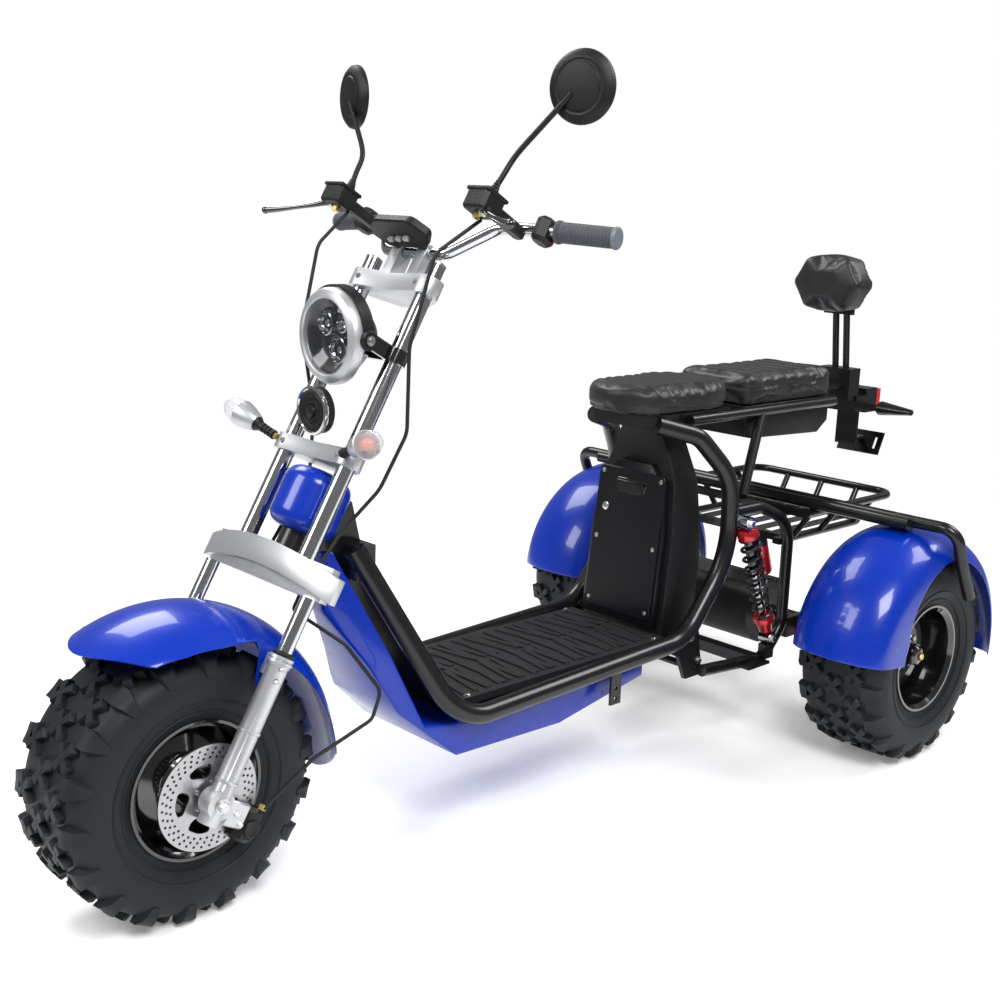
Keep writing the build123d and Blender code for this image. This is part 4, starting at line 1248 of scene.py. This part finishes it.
@dataclass
class DeckTrim:
    """Ribbed deck mat and the fasteners of the frame's coverings."""

    def build(self) -> None:
        """Build the mat's ribs, the panel's handle and lock, and the bolts."""
        mat = Shape()
        for k in range(19):
            x = 426 + 30 * k
            for side, _ in SIDES:
                ridge = [(x, side * 8), (x + 20, side * 118), (x + 30, side * 118), (x + 10, side * 8)]
                if side < 0:
                    ridge = ridge[::-1]
                if max(p[0] for p in ridge) < 990:
                    mat.slab(ridge, 3.0, BODY @ moved(0, 0, 272.2), 0.9, 0)
        for x in (440, 960):
            for side, _ in SIDES:
                mat.bolt(BODY @ moved(x, side * 126, 272.0), 5.0, 1, 3.0)
        mat.finished("deck_ribs", Body.CHASSIS, (SOFT_RUBBER, BOLT_STEEL))
        self._panel()

    def _panel(self) -> None:
        """Build the battery panel's frame, recessed handle, lock and screws."""
        foot, brow = Vector((402.8, 0, 258.3)), Vector((362.8, 0, 640))
        up = (brow - foot).normalized()
        out = Vector((-up.z, 0, up.x)) * -1.0
        at = BODY @ facing(foot + out * 18.4, out, up)
        shape = Shape()
        corners = [(346, -86), (346, 86), (330, 92), (44, 92), (36, 84), (36, -84), (44, -92), (330, -92)]
        outline = rounded(corners, 12.0, 4)
        shape.slab(outline, 2.4, at, 0.8, 0)
        shape.slab(rounded([(326, -44), (326, 44), (296, 38), (296, -38)], 8.0, 4), 1.4,
                   at @ moved(0, 0, 2.2), 0.5, 1)
        shape.slab(rounded([(322, -38), (322, 38), (314, 36), (314, -36)], 4.0, 3), 8.0,
                   at @ moved(0, 0, 2.2), 1.6, 0)
        shape.turned([(9, 2), (9, 5), (7, 6), (2.4, 6), (2, 4), (0.5, 4)], at @ moved(258, 62, 0), 2, 28)
        for u in (52, 190, 334):
            for v in (-80, 80):
                shape.bolt(at @ moved(u, v, 2.0), 3.6, 2, 2.6)
        shape.finished("panel_trim", Body.CHASSIS, (PANEL_BLACK, GLOSS_BLACK, BOLT_STEEL))


@dataclass
class RearTrim:
    """Shock coils and rear fasteners."""

    shock_top: Point = (241.0, 195.0, 508.0)
    shock_foot: Point = (130.0, 195.0, 232.0)
    coil_turns: float = 8.0
    coil_radius: float = 19.6
    wire_radius: float = 3.7

    def build(self) -> None:
        """Build both shocks and the bolts of hoop and basket."""
        for side, tag in SIDES:
            self._shock(side, tag)
        shape = Shape()
        for side, _ in SIDES:
            for x in (-22, 0):
                shape.bolt(BODY @ facing((x, side * (REAR_TRACK_HALF - 8), 528), (0, 0, 1)) @ moved(0, 0,
                                                                                                    -1.0),
                           5.0, 0, 4.0)
            shape.bolt(BODY @ facing((172, side * 178, 178), (0.4, side * 0.2, 0.9)), 5.0, 0, 4.0)
            for x, z in ((316, 206), (345, 262)):
                shape.bolt(BODY @ facing((x, side * 151.5, z), (0, side, 0)), 6.4, 0, 5.0)
        for y in (-26, 26):
            shape.bolt(BODY @ facing((-513, y, 695), (-1, 0, 0)), 3.6, 0, 2.6)
        shape.finished("rear_fasteners", Body.CHASSIS, (BOLT_STEEL,))

    def _shock(self, side: int, tag: str) -> None:
        """Build one shock absorber with its coil.

        Args:
            side: 1 for the rider's left, -1 for the right.
            tag: The side's name.
        """
        top, low = (Vector((x, side * y, z)) for x, y, z in (self.shock_top, self.shock_foot))
        axis = (low - top).normalized()
        length = (low - top).length
        at = BODY @ facing(top, axis)
        shape = Shape()
        shape.turned([(12, 14), (20, 18), (23.5, 24), (23.5, 34), (21, 37)], at, 1, 40)
        shape.turned([(12.5, 34), (12.5, 120)], at, 0, 32)
        shape.turned([(8, 120), (8, length - 44)], at, 2, 28)
        shape.turned([(21, length - 60), (23.5, length - 56), (23.5, length - 47), (17, length - 42),
                      (14, length - 20)], at, 1, 40)
        for z in (0.0, length):
            eye = BODY @ facing(top + axis * z, (0, 1, 0))
            shape.turned([(6, -13), (15, -13), (15, 13), (6, 13)], eye, 2, 32)
            shape.bolt(BODY @ facing(top + axis * z + Vector((0, side * 13, 0)), (0, side, 0)), 8.0, 4, 6.0)
        start, end, turns = 38.0, length - 61.0, self.coil_turns
        coil = []
        for k in range(int(turns * 20) + 1):
            share = k / (turns * 20)
            turn = math.tau * turns * share
            coil.append((self.coil_radius * math.cos(turn), self.coil_radius * math.sin(turn),
                         start + (end - start) * share))
        shape.swept(coil, self.wire_radius, at, 3, 10)
        tank = BODY @ facing(top + axis * 40 + Vector((-40, 0, -14)), axis)
        shape.turned([(11, 0), (16, 2), (16.5, 8), (16.5, 70), (14, 76), (0.5, 77)], tank, 1, 32)
        shape.turned([(17, -9), (17, 3), (12, 5)], tank, 3, 32)
        shape.finished(f"shock_{tag}_dressed", Body.CHASSIS,
                       (GLOSS_BLACK, RED_METAL, CHROME, FRAME_BLACK, BOLT_STEEL),
                       (f"shock_{tag}",))


@dataclass
class Studio:
    """Camera, lamps, floor and backdrop."""

    eye: Point = (1.9066, 1.8205, 1.1632)
    ahead: Point = (-0.673, -0.7055, -0.2221)
    up: Point = (-0.128, -0.185, 0.974)
    focal: float = 1336.13
    floor_glow: float = 0.17
    floor_fade: Flat = (1.5, 3.6)
    fill: float = 0.24
    lamps: tuple = field(default_factory=lambda: (
        # place, aim, width, power
        ((1.4, 2.6, 3.4), (0.2, 0.0, 0.4), 1.6, 150.0),
        ((3.2, -0.8, 2.8), (0.3, 0.0, 0.5), 1.6, 80.0),
        ((-2.6, 1.4, 3.4), (0.0, 0.0, 0.5), 1.8, 95.0),
        ((0.0, -2.4, 3.6), (0.0, 0.0, 0.5), 1.8, 90.0),
    ))

    def camera(self) -> None:
        """Place the camera at the photograph's viewpoint."""
        data = bpy.data.cameras.new("viewpoint")
        data.sensor_width = 36.0
        data.lens = self.focal / 1000.0 * 36.0
        data.clip_start = 0.05
        shot = bpy.data.objects.new("viewpoint", data)
        back = -Vector(self.ahead).normalized()
        right = Vector(self.up).cross(back).normalized()
        top = back.cross(right)
        shot.matrix_world = Matrix((
            (right.x, top.x, back.x, self.eye[0]),
            (right.y, top.y, back.y, self.eye[1]),
            (right.z, top.z, back.z, self.eye[2]),
            (0.0, 0.0, 0.0, 1.0),
        ))
        bpy.context.scene.collection.objects.link(shot)
        bpy.context.scene.camera = shot

    def light(self) -> None:
        """Hang the soft lamps."""
        for number, (place, aim, width, power) in enumerate(self.lamps):
            data = bpy.data.lights.new(f"softbox_{number}", "AREA")
            data.shape = "SQUARE"
            data.size = width
            data.energy = power
            lamp = bpy.data.objects.new(f"softbox_{number}", data)
            lamp.location = place
            lamp.rotation_euler = (Vector(aim) - Vector(place)).to_track_quat("-Z", "Y").to_euler()
            bpy.context.scene.collection.objects.link(lamp)

    def floor(self) -> None:
        """Lay the pale floor that keeps the shadow and fades out into the backdrop."""
        sides = 64
        points = [(0.0, 0.0, 0.0)]
        faces: list[tuple[int, ...]] = []
        for ring, radius in enumerate((1.2, 2.4, 3.6, 5.0, 7.0)):
            here = 1 + ring * sides
            for k in range(sides):
                turn = math.tau * k / sides
                n = (k + 1) % sides
                points.append((radius * math.cos(turn), radius * math.sin(turn), 0.0))
                inner = (here - sides + n, here - sides + k) if ring else (0,)
                faces.append((here + k, here + n, *inner))
        mesh = bpy.data.meshes.new("studio_floor")
        mesh.from_pydata(points, [], faces)
        ground = bpy.data.objects.new("studio_floor", mesh)
        bpy.context.scene.collection.objects.link(ground)
        made = bpy.data.materials.new("studio_floor")
        made.use_nodes = True
        tree = made.node_tree
        shader = tree.nodes["Principled BSDF"]
        feed(tree, shader, {
            "Base Color": (0.9, 0.9, 0.9, 1.0), "Roughness": 0.9, "Specular IOR Level": 0.1,
            "Emission Color": WHITE, "Emission Strength": self.floor_glow,
        })
        place = add_node(tree, "NewGeometry").outputs["Position"]
        reach = add_node(tree, "VectorMath", {0: place}, operation="LENGTH").outputs["Value"]
        near, far = self.floor_fade
        fade = add_node(tree, "MapRange", {"From Min": near, "From Max": far, "Value": reach},
                        interpolation_type="SMOOTHSTEP")
        clear = add_node(tree, "BsdfTransparent")
        mix = add_node(tree, "MixShader", {
            0: fade.outputs["Result"], 1: shader.outputs["BSDF"], 2: clear.outputs["BSDF"],
        })
        feed(tree, tree.nodes["Material Output"], {"Surface": mix.outputs["Shader"]})
        mesh.materials.append(made)

    def world(self) -> None:
        """Set the pale surroundings and the plain view transform."""
        world = bpy.data.worlds.new("studio")
        bpy.context.scene.world = world
        world.use_nodes = True
        tree = world.node_tree
        tree.nodes.clear()
        seen = add_node(tree, "Background", {"Color": WHITE, "Strength": 1.0})
        fill = add_node(tree, "Background", {"Color": WHITE, "Strength": self.fill})
        rays = add_node(tree, "LightPath").outputs
        either = add_node(tree, "Math", {0: rays["Is Camera Ray"], 1: rays["Is Transmission Ray"]},
                          operation="MAXIMUM")
        mix = add_node(tree, "MixShader", {
            0: either.outputs["Value"], 1: fill.outputs["Background"], 2: seen.outputs["Background"],
        })
        add_node(tree, "OutputWorld", {"Surface": mix.outputs["Shader"]})
        bpy.context.scene.view_settings.view_transform = "Standard"


def dress_nodes() -> None:
    """Give each solid that stays the finish of its material slot."""
    for entry in frame["record"]["subparts"]:
        node = frame["nodes"][entry["node"]]
        finish = NODE_FINISH.get(entry["node"], SLOT_FINISH[entry["material_slot"]])
        node.data.materials.clear()
        node.data.materials.append(finish.material())


def build_pieces() -> None:
    """Build every dressed piece, from the wheels up."""
    tread = Tyre()
    tread.build("front_tyre_tread", FRONT_HUB, Body.FRONT_WHEEL, "front_tyre", 4.0)
    tread.build("rear_tyre_tread_left", rear_hub(1), Body.REAR_LEFT, "rear_tyre_left", 9.0)
    tread.build("rear_tyre_tread_right", rear_hub(-1), Body.REAR_RIGHT, "rear_tyre_right", 2.0)
    FrontWheel().build()
    RearWheelTrim().build(1, "left", Body.REAR_LEFT)
    RearWheelTrim().build(-1, "right", Body.REAR_RIGHT)
    Mudguards().build()
    ForkTrim().build()
    Headlamp().build()
    Horn().build()
    Signals().build()
    Cockpit().build()
    Caliper().build()
    for node, body, slot, width in SOFTENED:
        softened(node, body, slot, width)
    Seats().build()
    DeckTrim().build()
    RearTrim().build()


def main() -> None:
    """Dress the frame, build the pieces and set the studio."""
    logging.basicConfig(level=logging.INFO, format="%(message)s")
    dress_nodes()
    build_pieces()
    studio = Studio()
    studio.camera()
    studio.light()
    studio.floor()
    studio.world()


if __name__ == "__main__":
    main()
